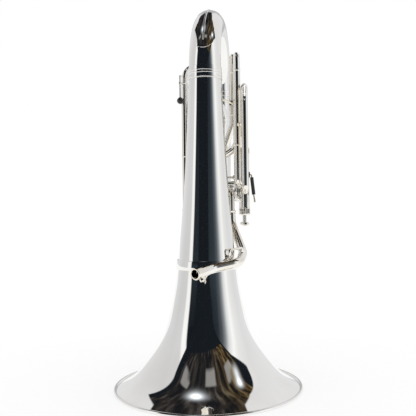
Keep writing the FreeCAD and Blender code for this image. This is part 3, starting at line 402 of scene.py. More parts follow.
def noise(tree, scale, detail, stretch=(1, 1, 1), source=None):
    """Noise on a point of the object, or on the source if one is given."""
    if source is None:
        source = tree.nodes.new("ShaderNodeTexCoord").outputs["Object"]
    place = add_node(tree, "ShaderNodeMapping", {"Vector": source, "Scale": stretch})
    values = {"Vector": place.outputs[0], "Scale": scale, "Detail": detail}
    return add_node(tree, "ShaderNodeTexNoise", values).outputs["Fac"]


def ramp(tree, value, stops):
    """A colour from a value, by stops of place and colour."""
    node = tree.nodes.new("ShaderNodeValToRGB")
    elements = node.color_ramp.elements
    elements[0].position, elements[0].color = stops[0][0], (*stops[0][1], 1)
    elements[1].position, elements[1].color = stops[-1][0], (*stops[-1][1], 1)
    for position, colour in stops[1:-1]:
        elements.new(position).color = (*colour, 1)
    tree.links.new(value, node.inputs["Fac"])
    return node.outputs["Color"]


def spread(tree, value, low, high, start=0.0, end=1.0):
    """Low to high while the value goes from start to end, and held there outside it."""
    ends = {"Value": value, "From Min": start, "From Max": end, "To Min": low, "To Max": high}
    return add_node(tree, "ShaderNodeMapRange", ends).outputs["Result"]


def calc(tree, operation, *values):
    """A math node on sockets and numbers."""
    return add_node(tree, "ShaderNodeMath", enumerate(values), operation=operation).outputs[0]


def minus(tree, first, second):
    return calc(tree, "SUBTRACT", first, second)


def blend(tree, factor, first, second):
    """The first colour, covered by the second as the factor rises to one."""
    first, second = [(*c, 1) if isinstance(c, tuple) else c for c in (first, second)]
    colours = {"Factor": factor, "A": first, "B": second}
    return add_node(tree, "ShaderNodeMix", colours, data_type="RGBA").outputs["Result"]


def bump(tree, value, distance):
    values = {"Height": value, "Distance": distance, "Strength": 1.0}
    return add_node(tree, "ShaderNodeBump", values).outputs["Normal"]


def polished_silver(name, dulled, low_rough, high_rough, wave):
    """Silver plate: hand-polished, with faint dulling and the slow waviness of spun sheet."""
    colours = bpy.context.scene.tuba_colours
    mat, tree, shader = new_material(name)
    dull = noise(tree, 9.0, 4.0, (1, 1, 0.35))
    stops = ((0.35, tuple(getattr(colours, dulled))), (0.62, tuple(colours.silver)))
    tree.links.new(ramp(tree, dull, stops), shader.inputs["Base Color"])
    marks = noise(tree, 60.0, 5.0, (1, 1, 0.2))
    tree.links.new(spread(tree, marks, low_rough, high_rough), shader.inputs["Roughness"])
    shader.inputs["Metallic"].default_value = 1.0
    if wave:
        tree.links.new(bump(tree, noise(tree, 7.0, 1.0), wave), shader.inputs["Normal"])
    return mat


def drawn_alloy():
    """Drawn metal, with its grain along the length."""
    mat, tree, shader = new_material("piston_alloy")
    base = tuple(bpy.context.scene.tuba_colours.alloy)
    lighter = tuple(min(1.0, c * 1.15) for c in base)
    grain = noise(tree, 250.0, 2.0, (1, 1, 0.05))
    tree.links.new(ramp(tree, grain, ((0.3, base), (0.7, lighter))), shader.inputs["Base Color"])
    tree.links.new(spread(tree, grain, 0.18, 0.34), shader.inputs["Roughness"])
    shader.inputs["Metallic"].default_value = 1.0
    return mat


def black_plastic():
    """Glossy black plastic with light scuffs."""
    mat, tree, shader = new_material("knob_plastic")
    base = tuple(bpy.context.scene.tuba_colours.knob)
    worn = tuple(c + 0.02 for c in base)
    scuff = noise(tree, 180.0, 4.0)
    tree.links.new(ramp(tree, scuff, ((0.45, base), (0.75, worn))), shader.inputs["Base Color"])
    tree.links.new(spread(tree, scuff, 0.12, 0.3), shader.inputs["Roughness"])
    return mat


def sleeve_rubber():
    """Matt black rubber with a fine grain."""
    mat, tree, shader = new_material("hook_rubber")
    base = tuple(bpy.context.scene.tuba_colours.rubber)
    dusty = tuple(c + 0.02 for c in base)
    grain = noise(tree, 400.0, 3.0)
    tree.links.new(ramp(tree, grain, ((0.4, base), (0.8, dusty))), shader.inputs["Base Color"])
    tree.links.new(spread(tree, grain, 0.35, 0.6), shader.inputs["Roughness"])
    tree.links.new(bump(tree, grain, 0.0001), shader.inputs["Normal"])
    return mat


FINISHES = {
    "bell_silver": lambda: polished_silver("bell_silver", "silver_dull", 0.015, 0.05, 0.0006),
    "tube_silver": lambda: polished_silver("tube_silver", "silver_warm", 0.02, 0.07, 0.0),
    "piston_alloy": drawn_alloy,
    "knob_plastic": black_plastic,
    "hook_rubber": sleeve_rubber,
}
# Finish of each material slot on the pieces that keep their own solids
SLOT_FINISHES = {
    "black_plastic": "knob_plastic",
    "black_rubber": "hook_rubber",
    "piston_alloy": "piston_alloy",
    "silver_plate": "tube_silver",
}


def finish(name):
    return bpy.data.materials.get(name) or FINISHES[name]()


# Node trees


def tree_with(name, inputs):
    tree = bpy.data.node_groups.new(name, "GeometryNodeTree")
    face = tree.interface
    face.new_socket("Geometry", in_out="INPUT", socket_type="NodeSocketGeometry")
    for label, kind, default in inputs:
        socket = face.new_socket(label, in_out="INPUT", socket_type=kind)
        if default is not None:
            socket.default_value = default
    face.new_socket("Geometry", in_out="OUTPUT", socket_type="NodeSocketGeometry")
    return tree, tree.nodes.new("NodeGroupInput"), tree.nodes.new("NodeGroupOutput")


def finish_tree(tree, group_in, group_out, last):
    """Smooth faces with sharp folds, then Realize Instances and Set Material."""
    smooth = add_node(tree, "GeometryNodeSetShadeSmooth", {"Geometry": last}, domain="FACE")
    fold = tree.nodes.new("GeometryNodeInputMeshEdgeAngle").outputs["Unsigned Angle"]
    sharp = add_node(tree, "FunctionNodeCompare", {0: fold, 1: FOLD_ANGLE}, operation="GREATER_THAN")
    edges = {"Geometry": smooth.outputs[0], "Selection": sharp.outputs[0], "Shade Smooth": False}
    creased = add_node(tree, "GeometryNodeSetShadeSmooth", edges, domain="EDGE")
    realize = add_node(tree, "GeometryNodeRealizeInstances", {0: creased.outputs[0]})
    faces = {"Geometry": realize.outputs[0], "Material": group_in.outputs["Material"]}
    paint = add_node(tree, "GeometryNodeSetMaterial", faces)
    tree.links.new(paint.outputs[0], group_out.inputs[0])


def welded(tree, mesh):
    values = {"Geometry": mesh, "Distance": WELD_DISTANCE}
    return add_node(tree, "GeometryNodeMergeByDistance", values).outputs[0]


def tube_tree():
    """A tube of the given wall along each line, as wide as the line's own radius attribute."""
    tree, group_in, group_out = tree_with("tuba_tube_along_line", (
        ("Wall", "NodeSocketFloat", 0.7 * MM),
        ("Sides", "NodeSocketInt", 40),
        ("Material", "NodeSocketMaterial", None),
    ))
    line = add_node(tree, "GeometryNodeMeshToCurve", {"Mesh": group_in.outputs["Geometry"]})
    radius = add_node(tree, "GeometryNodeInputNamedAttribute", {"Name": "tube_radius"}, data_type="FLOAT")
    around = {"Resolution": group_in.outputs["Sides"], "Radius": 1.0}
    circle = add_node(tree, "GeometryNodeCurvePrimitiveCircle", around)
    along = {"Curve": line.outputs[0], "Profile Curve": circle.outputs[0], "Scale": radius.outputs[0]}
    skin = add_node(tree, "GeometryNodeCurveToMesh", along).outputs[0]
    inwards = calc(tree, "MULTIPLY", group_in.outputs["Wall"], -1.0)
    pressed = {"Mesh": skin, "Individual": False, "Offset Scale": inwards}
    inner = add_node(tree, "GeometryNodeExtrudeMesh", pressed, mode="FACES")
    turned = add_node(tree, "GeometryNodeFlipFaces", {"Mesh": inner.outputs[0]})
    both = add_node(tree, "GeometryNodeJoinGeometry", {0: turned.outputs[0]})
    tree.links.new(skin, both.inputs[0])
    finish_tree(tree, group_in, group_out, welded(tree, both.outputs[0]))
    return tree


def grip_tree():
    """Small ridges instanced round a circle, as the grip of a cap."""
    tree, group_in, group_out = tree_with("tuba_grip_ridges", (
        ("Count", "NodeSocketInt", 48),
        ("Radius", "NodeSocketFloat", 15 * MM),
        ("Width", "NodeSocketFloat", 0.6 * MM),
        ("Height", "NodeSocketFloat", 4 * MM),
        ("Material", "NodeSocketMaterial", None),
    ))
    around = {"Vertices": group_in.outputs["Count"], "Radius": group_in.outputs["Radius"]}
    circle = add_node(tree, "GeometryNodeMeshCircle", around)
    place = tree.nodes.new("GeometryNodeInputPosition").outputs[0]
    outwards = add_node(tree, "FunctionNodeAlignRotationToVector", {"Vector": place}, axis="X")
    sizes = {"Vertices": 6, "Radius": group_in.outputs["Width"], "Depth": group_in.outputs["Height"]}
    ridge = add_node(tree, "GeometryNodeMeshCylinder", sizes).outputs["Mesh"]
    copies = {"Points": circle.outputs[0], "Instance": ridge, "Rotation": outwards.outputs[0]}
    scatter = add_node(tree, "GeometryNodeInstanceOnPoints", copies)
    finish_tree(tree, group_in, group_out, scatter.outputs[0])
    return tree


def smooth_tree():
    """Welds a faceted solid and shades it smooth except across its real edges."""
    tree, group_in, group_out = tree_with("tuba_smooth_solid", (("Material", "NodeSocketMaterial", None),))
    finish_tree(tree, group_in, group_out, welded(tree, group_in.outputs["Geometry"]))
    return tree


TREES = {"tube": tube_tree, "grip": grip_tree, "smooth": smooth_tree}
BUILT_TREES = {}


def add_tree(owner, kind, values):
    """Puts a node tree on an object, with its inputs set by their identifiers."""
    if kind not in BUILT_TREES:
        BUILT_TREES[kind] = TREES[kind]()
    modifier = owner.modifiers.new(kind, "NODES")
    modifier.node_group = BUILT_TREES[kind]
    for item in modifier.node_group.interface.items_tree:
        if item.item_type == "SOCKET" and item.in_out == "INPUT" and item.name in values:
            modifier[item.identifier] = values[item.name]


def grow(name, mesh, kind, values):
    """Runs a node tree on a mesh and keeps the result as a plain mesh."""
    seed = bpy.data.objects.new(name + "_line", mesh)
    bpy.context.scene.collection.objects.link(seed)
    add_tree(seed, kind, values)
    bpy.context.view_layer.update()
    grown = bpy.data.meshes.new_from_object(seed.evaluated_get(bpy.context.evaluated_depsgraph_get()))
    bpy.data.objects.remove(seed)
    grown.name = name
    return grown


# Shapes


def link_piece(name, mesh, body, nodes, material=None):
    """Adds a finished piece that rides its body and stands in for the named nodes."""
    piece = bpy.data.objects.new(name, mesh)
    bpy.context.scene.collection.objects.link(piece)
    if material:
        mesh.materials.clear()
        mesh.materials.append(finish(material))
    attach(piece, body)
    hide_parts(*nodes)


def joined(meshes):
    """Several meshes as one."""
    whole = bmesh.new()
    for mesh in meshes:
        whole.from_mesh(mesh)
    result = bpy.data.meshes.new("joined")
    whole.to_mesh(result)
    whole.free()
    for polygon in result.polygons:
        polygon.use_smooth = True
    return result


def shaded(name, mesh):
    """A plain mesh with outward faces, smooth except across its folds."""
    bmesh.ops.recalc_face_normals(mesh, faces=mesh.faces)
    for face in mesh.faces:
        face.smooth = True
    for edge in mesh.edges:
        if len(edge.link_faces) == 2 and edge.calc_face_angle(0) > FOLD_ANGLE:
            edge.smooth = False
    result = bpy.data.meshes.new(name)
    mesh.to_mesh(result)
    mesh.free()
    return result


def rounded_route(route, bends, step=4.0):
    """Points along straight runs joined by tangent arcs, about one for each step in degrees."""
    stops = [Vector(p) for p in route]
    points = [stops[0]]
    for before, corner, after, bend in zip(stops, stops[1:], stops[2:], bends):
        into = (corner - before).normalized()
        away = (after - corner).normalized()
        turn = into.angle(away)
        start = corner - into * bend * math.tan(turn / 2)
        axis = into.cross(away).normalized()
        centre = start + axis.cross(into) * bend
        count = max(3, math.ceil(math.degrees(turn) / step))
        for i in range(count + 1):
            spot = centre + Matrix.Rotation(turn * i / count, 3, axis) @ (start - centre)
            if (spot - points[-1]).length > 0.01:
                points.append(spot)
    points.append(stops[-1])
    return points


def lines_mesh(lines):
    """A mesh of open lines from (points, radii) pairs, where one radius may serve a whole line."""
    verts, edges, radii = [], [], []
    for points, widths in lines:
        first = len(verts)
        verts += [tuple(Vector(p) * MM) for p in points]
        edges += [(i, i + 1) for i in range(first, len(verts) - 1)]
        radii += [w * MM for w in (widths if hasattr(widths, "__len__") else [widths] * len(points))]
    mesh = bpy.data.meshes.new("lines")
    mesh.from_pydata(verts, edges, [])
    mesh.attributes.new("tube_radius", "FLOAT", "POINT").data.foreach_set("value", radii)
    return mesh


def tube_mesh(name, lines, wall, sides, material):
    values = {"Wall": wall, "Sides": sides, "Material": finish(material)}
    return grow(name, lines_mesh(lines), "tube", values)


def tubes(name, lines, body, node, material="tube_silver", wall=None, sides=None):
    """One piece of tubes along the lines, with the usual wall and sides unless others are given."""
    sizes = bpy.context.scene.tuba_sizes
    thickness = wall * MM if wall else sizes.tube_wall
    link_piece(name, tube_mesh(name, lines, thickness, sides or sizes.tube_sides, material), body, [node])


def lathe(profile, sides, centre=(0, 0), closed=True):
    """A turned shape about an upright axis from (radius, height) pairs."""
    mesh = bmesh.new()
    rings = []
    for radius, z in profile:
        if radius < 1e-6:
            rings.append([mesh.verts.new(Vector((*centre, z)) * MM)])
            continue
        ring = []
        for i in range(sides):
            angle = 2 * math.pi * i / sides
            x = centre[0] + radius * math.cos(angle)
            y = centre[1] + radius * math.sin(angle)
            ring.append(mesh.verts.new((x * MM, y * MM, z * MM)))
        rings.append(ring)
    pairs = list(zip(rings, rings[1:]))
    if closed and len(rings[0]) > 1 and len(rings[-1]) > 1:
        pairs.append((rings[-1], rings[0]))
    for low, high in pairs:
        for i in range(sides):
            j = (i + 1) % sides
            corners = [low[i % len(low)], low[j % len(low)], high[j % len(high)], high[i % len(high)]]
            corners = [v for k, v in enumerate(corners) if v not in corners[:k]]
            if len(corners) > 2:
                mesh.faces.new(corners)
    return shaded("turned", mesh)


def smooth_outline(pairs, samples):
    """A natural cubic through (height, radius) pairs, spaced along its chords."""
    data = np.array([(r, z) for z, r in pairs])
    knots = np.concatenate(([0], np.cumsum(np.hypot(*np.diff(data, axis=0).T))))
    count = len(knots)
    gaps = np.diff(knots)
    matrix = np.eye(count)
    right = np.zeros((count, 2))
    for i in range(1, count - 1):
        matrix[i, i - 1:i + 2] = gaps[i - 1], 2 * (gaps[i - 1] + gaps[i]), gaps[i]
        right[i] = 6 * ((data[i + 1] - data[i]) / gaps[i] - (data[i] - data[i - 1]) / gaps[i - 1])
    bend = np.linalg.solve(matrix, right)
    result = []
    for t in np.linspace(0, knots[-1], samples):
        i = min(count - 2, max(0, int(np.searchsorted(knots, t)) - 1))
        h, a, b = gaps[i], knots[i + 1] - t, t - knots[i]
        spot = bend[i] * a**3 / (6 * h) + bend[i + 1] * b**3 / (6 * h)
        spot = spot + (data[i] / h - bend[i] * h / 6) * a + (data[i + 1] / h - bend[i + 1] * h / 6) * b
        result.append((float(spot[0]), float(spot[1])))
    return result


def walled(outline, wall):
    """A closed profile from an outline and its wall, measured square to it."""
    inside = []
    for i, (r, z) in enumerate(outline):
        r0, z0 = outline[max(0, i - 1)]
        r1, z1 = outline[min(len(outline) - 1, i + 1)]
        length = math.hypot(r1 - r0, z1 - z0)
        inside.append((r - (z1 - z0) / length * wall, z + (r1 - r0) / length * wall))
    return outline + inside[::-1]


def bell_radius(z):
    points = FLARE_OUTLINE + STEM_OUTLINE[1:]
    return float(np.interp(z, [p[0] for p in points], [p[1] for p in points]))


def bow_frame(first, second, spring):
    """Centre of a bow's half circle and the arm from there to its first end."""
    a = Vector((*first, spring))
    b = Vector((*second, spring))
    return (a + b) / 2, (a - b) / 2


def bow_line(first, second, spring, side, first_radius, second_radius, count=72):
    """Points and radii along the half circle of a tapering bow."""
    centre, arm = bow_frame(first, second, spring)
    points, radii = [], []
    for i in range(count + 1):
        angle = math.pi * i / count
        points.append(centre + arm * math.cos(angle) + Vector((0, 0, side * arm.length * math.sin(angle))))
        radii.append(first_radius + (second_radius - first_radius) * i / count)
    return points, radii


def upright(place, low, high, low_radius, high_radius, count=12):
    """Points and radii up a straight tapering branch."""
    points = [(*place, low + (high - low) * i / count) for i in range(count + 1)]
    return points, [low_radius + (high_radius - low_radius) * i / count for i in range(count + 1)]


def bead(place, z, radius, half=1.4, proud=0.7):
    """A softly rounded ring round an upright tube."""
    heights = (-half, -0.8 * half, -0.4 * half, 0.4 * half, 0.8 * half, half)
    widths = (0.0, 0.62, 1.0, 1.0, 0.62, 0.0)
    return [(*place, z + h) for h in heights], [radius + proud * w for w in widths]


def sleeve(place, foot, head):
    """An upright sleeve with a ring near each end."""
    ends = (foot + SLEEVE_RING_INSET, head - SLEEVE_RING_INSET)
    rings = [bead(place, z, SLEEVE, *SLEEVE_RING) for z in ends]
    return [upright(place, foot, head, SLEEVE, SLEEVE, 2)] + rings


def slide_line(first, second, leg_z, crown_z):
    """An upright slide: two legs and the half circle over them."""
    half = (Vector(first) - Vector(second)).length / 2
    top = crown_z - TUBE
    route = [(*first, leg_z), (*first, top), (*second, top), (*second, leg_z)]
    return rounded_route(route, (half, half)), TUBE


# Operators


class TUBA_OT_bell(bpy.types.Operator):
    """Turns the bell's flare, stem, collar, rolled rim and upper ferrule"""
    bl_idname = "tuba.bell"
    bl_label = "Bell"

    def execute(self, context):
        sizes = context.scene.tuba_sizes
        sides = sizes.bell_sides
        wall = sizes.bell_wall / MM
        flare = walled(smooth_outline(FLARE_OUTLINE, FLARE_SAMPLES), wall)
        link_piece("bell_flare_sheet", lathe(flare, sides), "horn", ["bell_flare"], "bell_silver")
        stem = walled(smooth_outline(STEM_OUTLINE, STEM_SAMPLES), wall)
        link_piece("bell_stem_sheet", lathe(stem, sides), "horn", ["bell_stem"], "bell_silver")
        link_piece("bell_rolled_rim", lathe(self.rim(), sides), "horn", ["bell_rim_bead"], "bell_silver")
        link_piece("bell_joint_collar", lathe(self.collar(), sides), "horn", ["bell_collar"], "bell_silver")
        ferrule = lathe(self.ferrule(), BOW_FERRULE_SIDES)
        link_piece("bow_upper_ferrule", ferrule, "horn", ["bow_ferrule"], "bell_silver")
        return {"FINISHED"}

    def rim(self):
        """The rolled bead, flattened where it stands on the floor."""
        profile = []
        for i in range(RIM_STEPS):
            angle = 2 * math.pi * i / RIM_STEPS
            height = max(0.0, RIM_HEIGHT + RIM_BEAD * math.sin(angle))
            profile.append((RIM_RADIUS - RIM_BEAD + RIM_BEAD * math.cos(angle), height))
        return profile

    def collar(self):
        """The collar over the joint, with soft edges."""
        low, high = COLLAR
        bore_low, bore_high = bell_radius(low) + FERRULE_GAP, bell_radius(high) + FERRULE_GAP
        profile = [(bore_low + out, low + rise) for out, rise in COLLAR_FOOT]
        return profile + [(bore_high + out, high - drop) for out, drop in COLLAR_HEAD]

    def ferrule(self):
        """The ferrule at the top of the stem, with three rings."""
        foot = BOW_SPRING - BOW_FERRULE_LENGTH
        bore = bell_radius(foot) + FERRULE_GAP
        profile = [(bore, foot), (bore + FERRULE_WALL, foot)]
        for z in BOW_FERRULE_RINGS:
            seat = bell_radius(foot + z) + RING_SEAT
            for i in range(RING_STEPS + 1):
                angle = -math.pi / 2 + math.pi * i / RING_STEPS
                profile.append((seat + RING_PROUD * math.cos(angle), foot + z + RING_HALF * math.sin(angle)))
        head = STEM_TOP + FERRULE_GAP
        return profile + [(head + FERRULE_WALL, BOW_SPRING), (head, BOW_SPRING)]


class TUBA_OT_bows(bpy.types.Operator):
    """Bends the tapered bows and draws the branches between them, with their ferrules"""
    bl_idname = "tuba.bows"
    bl_label = "Bows and branches"

    def execute(self, context):
        wide = context.scene.tuba_sizes.bow_sides
        top = bow_line(FRONT, REAR, BOW_SPRING, 1, STEM_TOP, REAR_TOP, TOP_BOW_STEPS)
        rear = upright(REAR, BOTTOM_SPRING, BOW_SPRING, REAR_FOOT, REAR_TOP)
        bottom = bow_line(REAR, THIRD, BOTTOM_SPRING, -1, REAR_FOOT, THIRD_FOOT)
        third = upright(THIRD, BOTTOM_SPRING, INNER_SPRING, THIRD_FOOT, THIRD_TOP)
        inner = bow_line(THIRD, FOURTH, INNER_SPRING, 1, THIRD_TOP, FOURTH_TOP)
        fourth = upright(FOURTH, FOURTH_FOOT_Z, INNER_SPRING, SLEEVE, FOURTH_TOP)
        skins = (
            ("top_bow_skin", "top_bow", top, BOW_WALL, wide),
            ("rear_branch_skin", "rear_branch", rear, BOW_WALL, wide),
            ("bottom_bow_skin", "bottom_bow", bottom, BOW_WALL, wide),
            ("third_branch_skin", "third_branch", third, BOW_WALL, INNER_SIDES),
            ("inner_bow_skin", "inner_top_bow", inner, BOW_WALL, INNER_SIDES),
            ("fourth_branch_skin", "fourth_branch", fourth, THIN_WALL, FOURTH_SIDES),
        )
        for name, node, line, wall, sides in skins:
            tubes(name, [line], "horn", node, "bell_silver", wall, sides)
        self.rear_ferrule()
        self.branch_ferrules()
        half = math.dist(TUNING_FAR, FOURTH) / 2
        low = FOURTH_FOOT_Z - half
        head = TUNING_FEET[1] + SLEEVE_LAP
        end = FOURTH_FOOT_Z + RETURN_LAP
        route = [(*TUNING_FAR, head), (*TUNING_FAR, low), (*FOURTH, low), (*FOURTH, end)]
        tubes("return_bow_tube", [(rounded_route(route, (half, half)), TUBE)], "horn", "return_bow")
        return {"FINISHED"}

    def rear_ferrule(self):
        foot = BOW_SPRING - REAR_FERRULE_LENGTH
        lines = [upright(REAR, foot, BOW_SPRING, REAR_FERRULE_RADIUS, REAR_FERRULE_RADIUS, 2)]
        lines += [bead(REAR, BOW_SPRING - z, REAR_FERRULE_RADIUS - 0.2) for z in REAR_FERRULE_RINGS]
        wall, sides = FERRULE_WALL, REAR_FERRULE_SIDES
        tubes("rear_upper_ferrule", lines, "horn", "rear_ferrule", "bell_silver", wall, sides)

    def branch_ferrules(self):
        foot = BOTTOM_SPRING - BRANCH_FERRULE_LAP
        head = INNER_SPRING + BRANCH_FERRULE_LAP - BRANCH_FERRULE_LENGTH
        lines = []
        places = (REAR, THIRD, THIRD, FOURTH)
        for place, z, radius in zip(places, (foot, foot, head, head), BRANCH_FERRULE_RADII):
            lines.append(upright(place, z, z + BRANCH_FERRULE_LENGTH, radius, radius, 2))
            for height in (BRANCH_FERRULE_RING, BRANCH_FERRULE_LENGTH - BRANCH_FERRULE_RING):
                lines.append(bead(place, z + height, radius))
        wall, sides = BRANCH_FERRULE_WALL, INNER_SIDES
        tubes("branch_joint_ferrules", lines, "horn", "branch_ferrules", "bell_silver", wall, sides)


class TUBA_OT_guard(bpy.types.Operator):
    """Presses the guard plate over the top bow, with its raised rib"""
    bl_idname = "tuba.guard"
    bl_label = "Bow guard"

    def execute(self, context):
        plate = self.strip(GUARD_HALF_WIDTH, GUARD_FOOT_Z, lambda share: GUARD_LIFT, GUARD_FLOOR, GUARD_ROWS)
        rib = self.strip(RIB_HALF_WIDTH, RIB_FOOT_Z, self.rib_lift, RIB_FLOOR, RIB_ROWS)
        link_piece("bow_guard_plate", joined([plate, rib]), "horn", ["bow_guard"], "bell_silver")
        return {"FINISHED"}

    def rib_lift(self, share):
        return RIB_EDGE + RIB_CROWN * math.sqrt(max(0.0, 1 - share * share))

    def strip(self, half_width, foot_z, lift, floor, across):
        """A strip with round ends that lies along the outside of the top bow."""
        mesh = bmesh.new()
        layers = []
        for level in (0, 1):
            rows = []
            for j in range(across):
                share = math.sin(math.pi / 2 * (2 * j / (across - 1) - 1))
                w = share * half_width
                z_end = foot_z + half_width - math.sqrt(max(0.0, half_width**2 - w * w))
                height = lift(share) if level else floor
                steps = [i / GUARD_STEPS for i in range(GUARD_STEPS + 1)]
                rows.append([mesh.verts.new(self.spot(w, z_end, step, height) * MM) for step in steps])
            layers.append(rows)
        low, high = layers
        for j in range(across - 1):
            for i in range(GUARD_STEPS):
                mesh.faces.new((high[j][i], high[j][i + 1], high[j + 1][i + 1], high[j + 1][i]))
                mesh.faces.new((low[j][i], low[j + 1][i], low[j + 1][i + 1], low[j][i + 1]))
        for j in (0, across - 1):
            for i in range(GUARD_STEPS):
                mesh.faces.new((high[j][i], low[j][i], low[j][i + 1], high[j][i + 1]))
        for i in (0, GUARD_STEPS):
            for j in range(across - 1):
                mesh.faces.new((high[j][i], high[j + 1][i], low[j + 1][i], low[j][i]))
        bmesh.ops.remove_doubles(mesh, verts=mesh.verts, dist=WELD_DISTANCE)
        return shaded("strip", mesh)

    def spot(self, w, z_end, share, lift):
        """A point on the bow's skin at a distance across and a share of the way over."""
        centre, arm = bow_frame(FRONT, REAR, BOW_SPRING)
        reach = arm.length
        arm.normalize()
        side = arm.cross(Vector((0, 0, 1)))
        rise = z_end - BOW_SPRING
        start = math.asin(min(1.0, rise / (reach + STEM_TOP - GUARD_EASE)))
        stop = math.pi - math.asin(min(1.0, rise / (reach + REAR_TOP + GUARD_EASE)))
        angle = start + (stop - start) * share
        radius = STEM_TOP - (STEM_TOP - REAR_TOP) * angle / math.pi + lift
        out = math.sqrt(max(0.0, radius**2 - w * w))
        away = arm * math.cos(angle) + Vector((0, 0, math.sin(angle)))
        return centre + away * (reach + out) + side * w


class TUBA_OT_valves(bpy.types.Operator):
    """Turns the valve casings, caps and finger buttons"""
    bl_idname = "tuba.valves"
    bl_label = "Valves"

    def execute(self, context):
        for number, y in VALVE_YS.items():
            place = (VALVE_X, y)
            self.add(f"valve_casing_{number}", "tube", [lathe(CASING, VALVE_SIDES, place)], "horn")
            pieces = [lathe(STEM_CAP, VALVE_SIDES, place), self.grip(place, *STEM_CAP_GRIP)]
            self.add(f"stem_cap_{number}", "turned", pieces, "horn")
            pieces = [lathe(self.end_cap(), VALVE_SIDES, place), self.grip(place, *END_CAP_GRIP)]
            self.add(f"end_cap_{number}", "turned", pieces, "horn")
            pieces = [lathe(self.button(), BUTTON_SIDES, place, closed=False)]
            self.add(f"finger_button_{number}", "turned", pieces, f"valve_{number}")
        return {"FINISHED"}

    def add(self, node, ending, meshes, body):
        mesh = meshes[0] if len(meshes) == 1 else joined(meshes)
        link_piece(f"{node}_{ending}", mesh, body, [node], "tube_silver")

    def end_cap(self):
        """The upper cap, with a low dome on top."""
        profile = list(END_CAP)
        for i in range(1, DOME_STEPS):
            angle = math.pi / 2 * i / DOME_STEPS
            profile.append((CAP_BEAD * math.cos(angle), CASING_TOP + END_CAP_DOME * math.sin(angle)))
        return profile + [(0, CASING_TOP + END_CAP_DOME), (0, CASING_TOP), (CAP_BORE, CASING_TOP)]

    def button(self):
        """The finger button, with a shallow ball on its pressed face."""
        profile = list(BUTTON)
        ball = (BUTTON_RADIUS**2 + BUTTON_CROWN**2) / (2 * BUTTON_CROWN)
        for i in range(1, DOME_STEPS):
            r = BUTTON_RADIUS * math.cos(math.pi / 2 * i / DOME_STEPS)
            profile.append((r, BUTTON_LOW_Z + ball - math.sqrt(ball**2 - r * r)))
        return profile + [(0, BUTTON_LOW_Z)]

    def grip(self, place, z, height):
        """The ridges that fingers turn a cap by."""
        values = {
            "Count": GRIP_COUNT, "Radius": GRIP_RADIUS * MM, "Width": GRIP_WIDTH * MM, "Height": height * MM,
            "Material": finish("tube_silver"),
        }
        ridges = grow("grip", bpy.data.meshes.new("grip_seed"), "grip", values)
        ridges.transform(Matrix.Translation(Vector((*place, z)) * MM))
        return ridges


class TUBA_OT_valve_tubing(bpy.types.Operator):
    """Draws the knuckles and the outer tubes of the three valve slides"""
    bl_idname = "tuba.valve_tubing"
    bl_label = "Valve tubing"

    def execute(self, context):
        knuckles = []
        for behind, front in ((1, 2), (2, 3)):
            ends = (VALVE_YS[front] + KNUCKLE_GAP, VALVE_YS[behind] - KNUCKLE_GAP)
            knuckles.append(([(VALVE_X, y, PORT_Z) for y in ends], TUBE))
        tubes("valve_knuckle_tubes", knuckles, "horn", "valve_knuckles")
        first, third = [], []
        for leg_y, port_z in zip(SLIDE_1_YS, (UPPER_Z, LOWER_Z)):
            first += [self.first_leg(leg_y, port_z)] + sleeve((SLIDE_1_X, leg_y), *SLIDE_1_SLEEVE)
        tubes("slide_1_outer_tubes", first, "horn", "slide_1_tubes")
        for leg_y, port_z in zip(SLIDE_3_YS, (UPPER_Z, LOWER_Z)):
            third += [self.third_leg(leg_y, port_z)] + sleeve((SLIDE_3_X, leg_y), *SLIDE_3_SLEEVE)
        tubes("slide_3_outer_tubes", third, "horn", "slide_3_tubes")
        second = [([(x, VALVE_YS[2], z) for x in SLIDE_2_SLEEVE], SLEEVE) for z in (UPPER_Z, LOWER_Z)]
        tubes("slide_2_outer_tubes", second, "horn", "slide_2_tubes", wall=THIN_WALL)
        return {"FINISHED"}

    def first_leg(self, leg_y, port_z):
        """From the rear valve inwards, up and out again to its sleeve."""
        port_y = VALVE_YS[1]
        low, high = SLIDE_1_LEAN
        route = [
            (VALVE_X - SLIDE_1_START, port_y, port_z), (SLIDE_1_TURN_X, port_y, port_z),
            (SLIDE_1_INNER_X, leg_y, port_z), (SLIDE_1_INNER_X, leg_y, low),
            (SLIDE_1_X, leg_y, high), (SLIDE_1_X, leg_y, SLIDE_1_SLEEVE[0] + SLEEVE_LAP),
        ]
        return rounded_route(route, SLIDE_1_BENDS), TUBE

    def third_leg(self, leg_y, port_z):
        """From the front valve aslant to its leg and up to its sleeve."""
        port = Vector((VALVE_X, VALVE_YS[3], port_z))
        leg = Vector((SLIDE_3_X, leg_y, port_z))
        start = port + (leg - port).normalized() * SLIDE_3_START
        route = [tuple(start), tuple(leg), (SLIDE_3_X, leg_y, SLIDE_3_SLEEVE[0] + SLEEVE_LAP)]
        return rounded_route(route, (SLIDE_3_BEND,)), TUBE


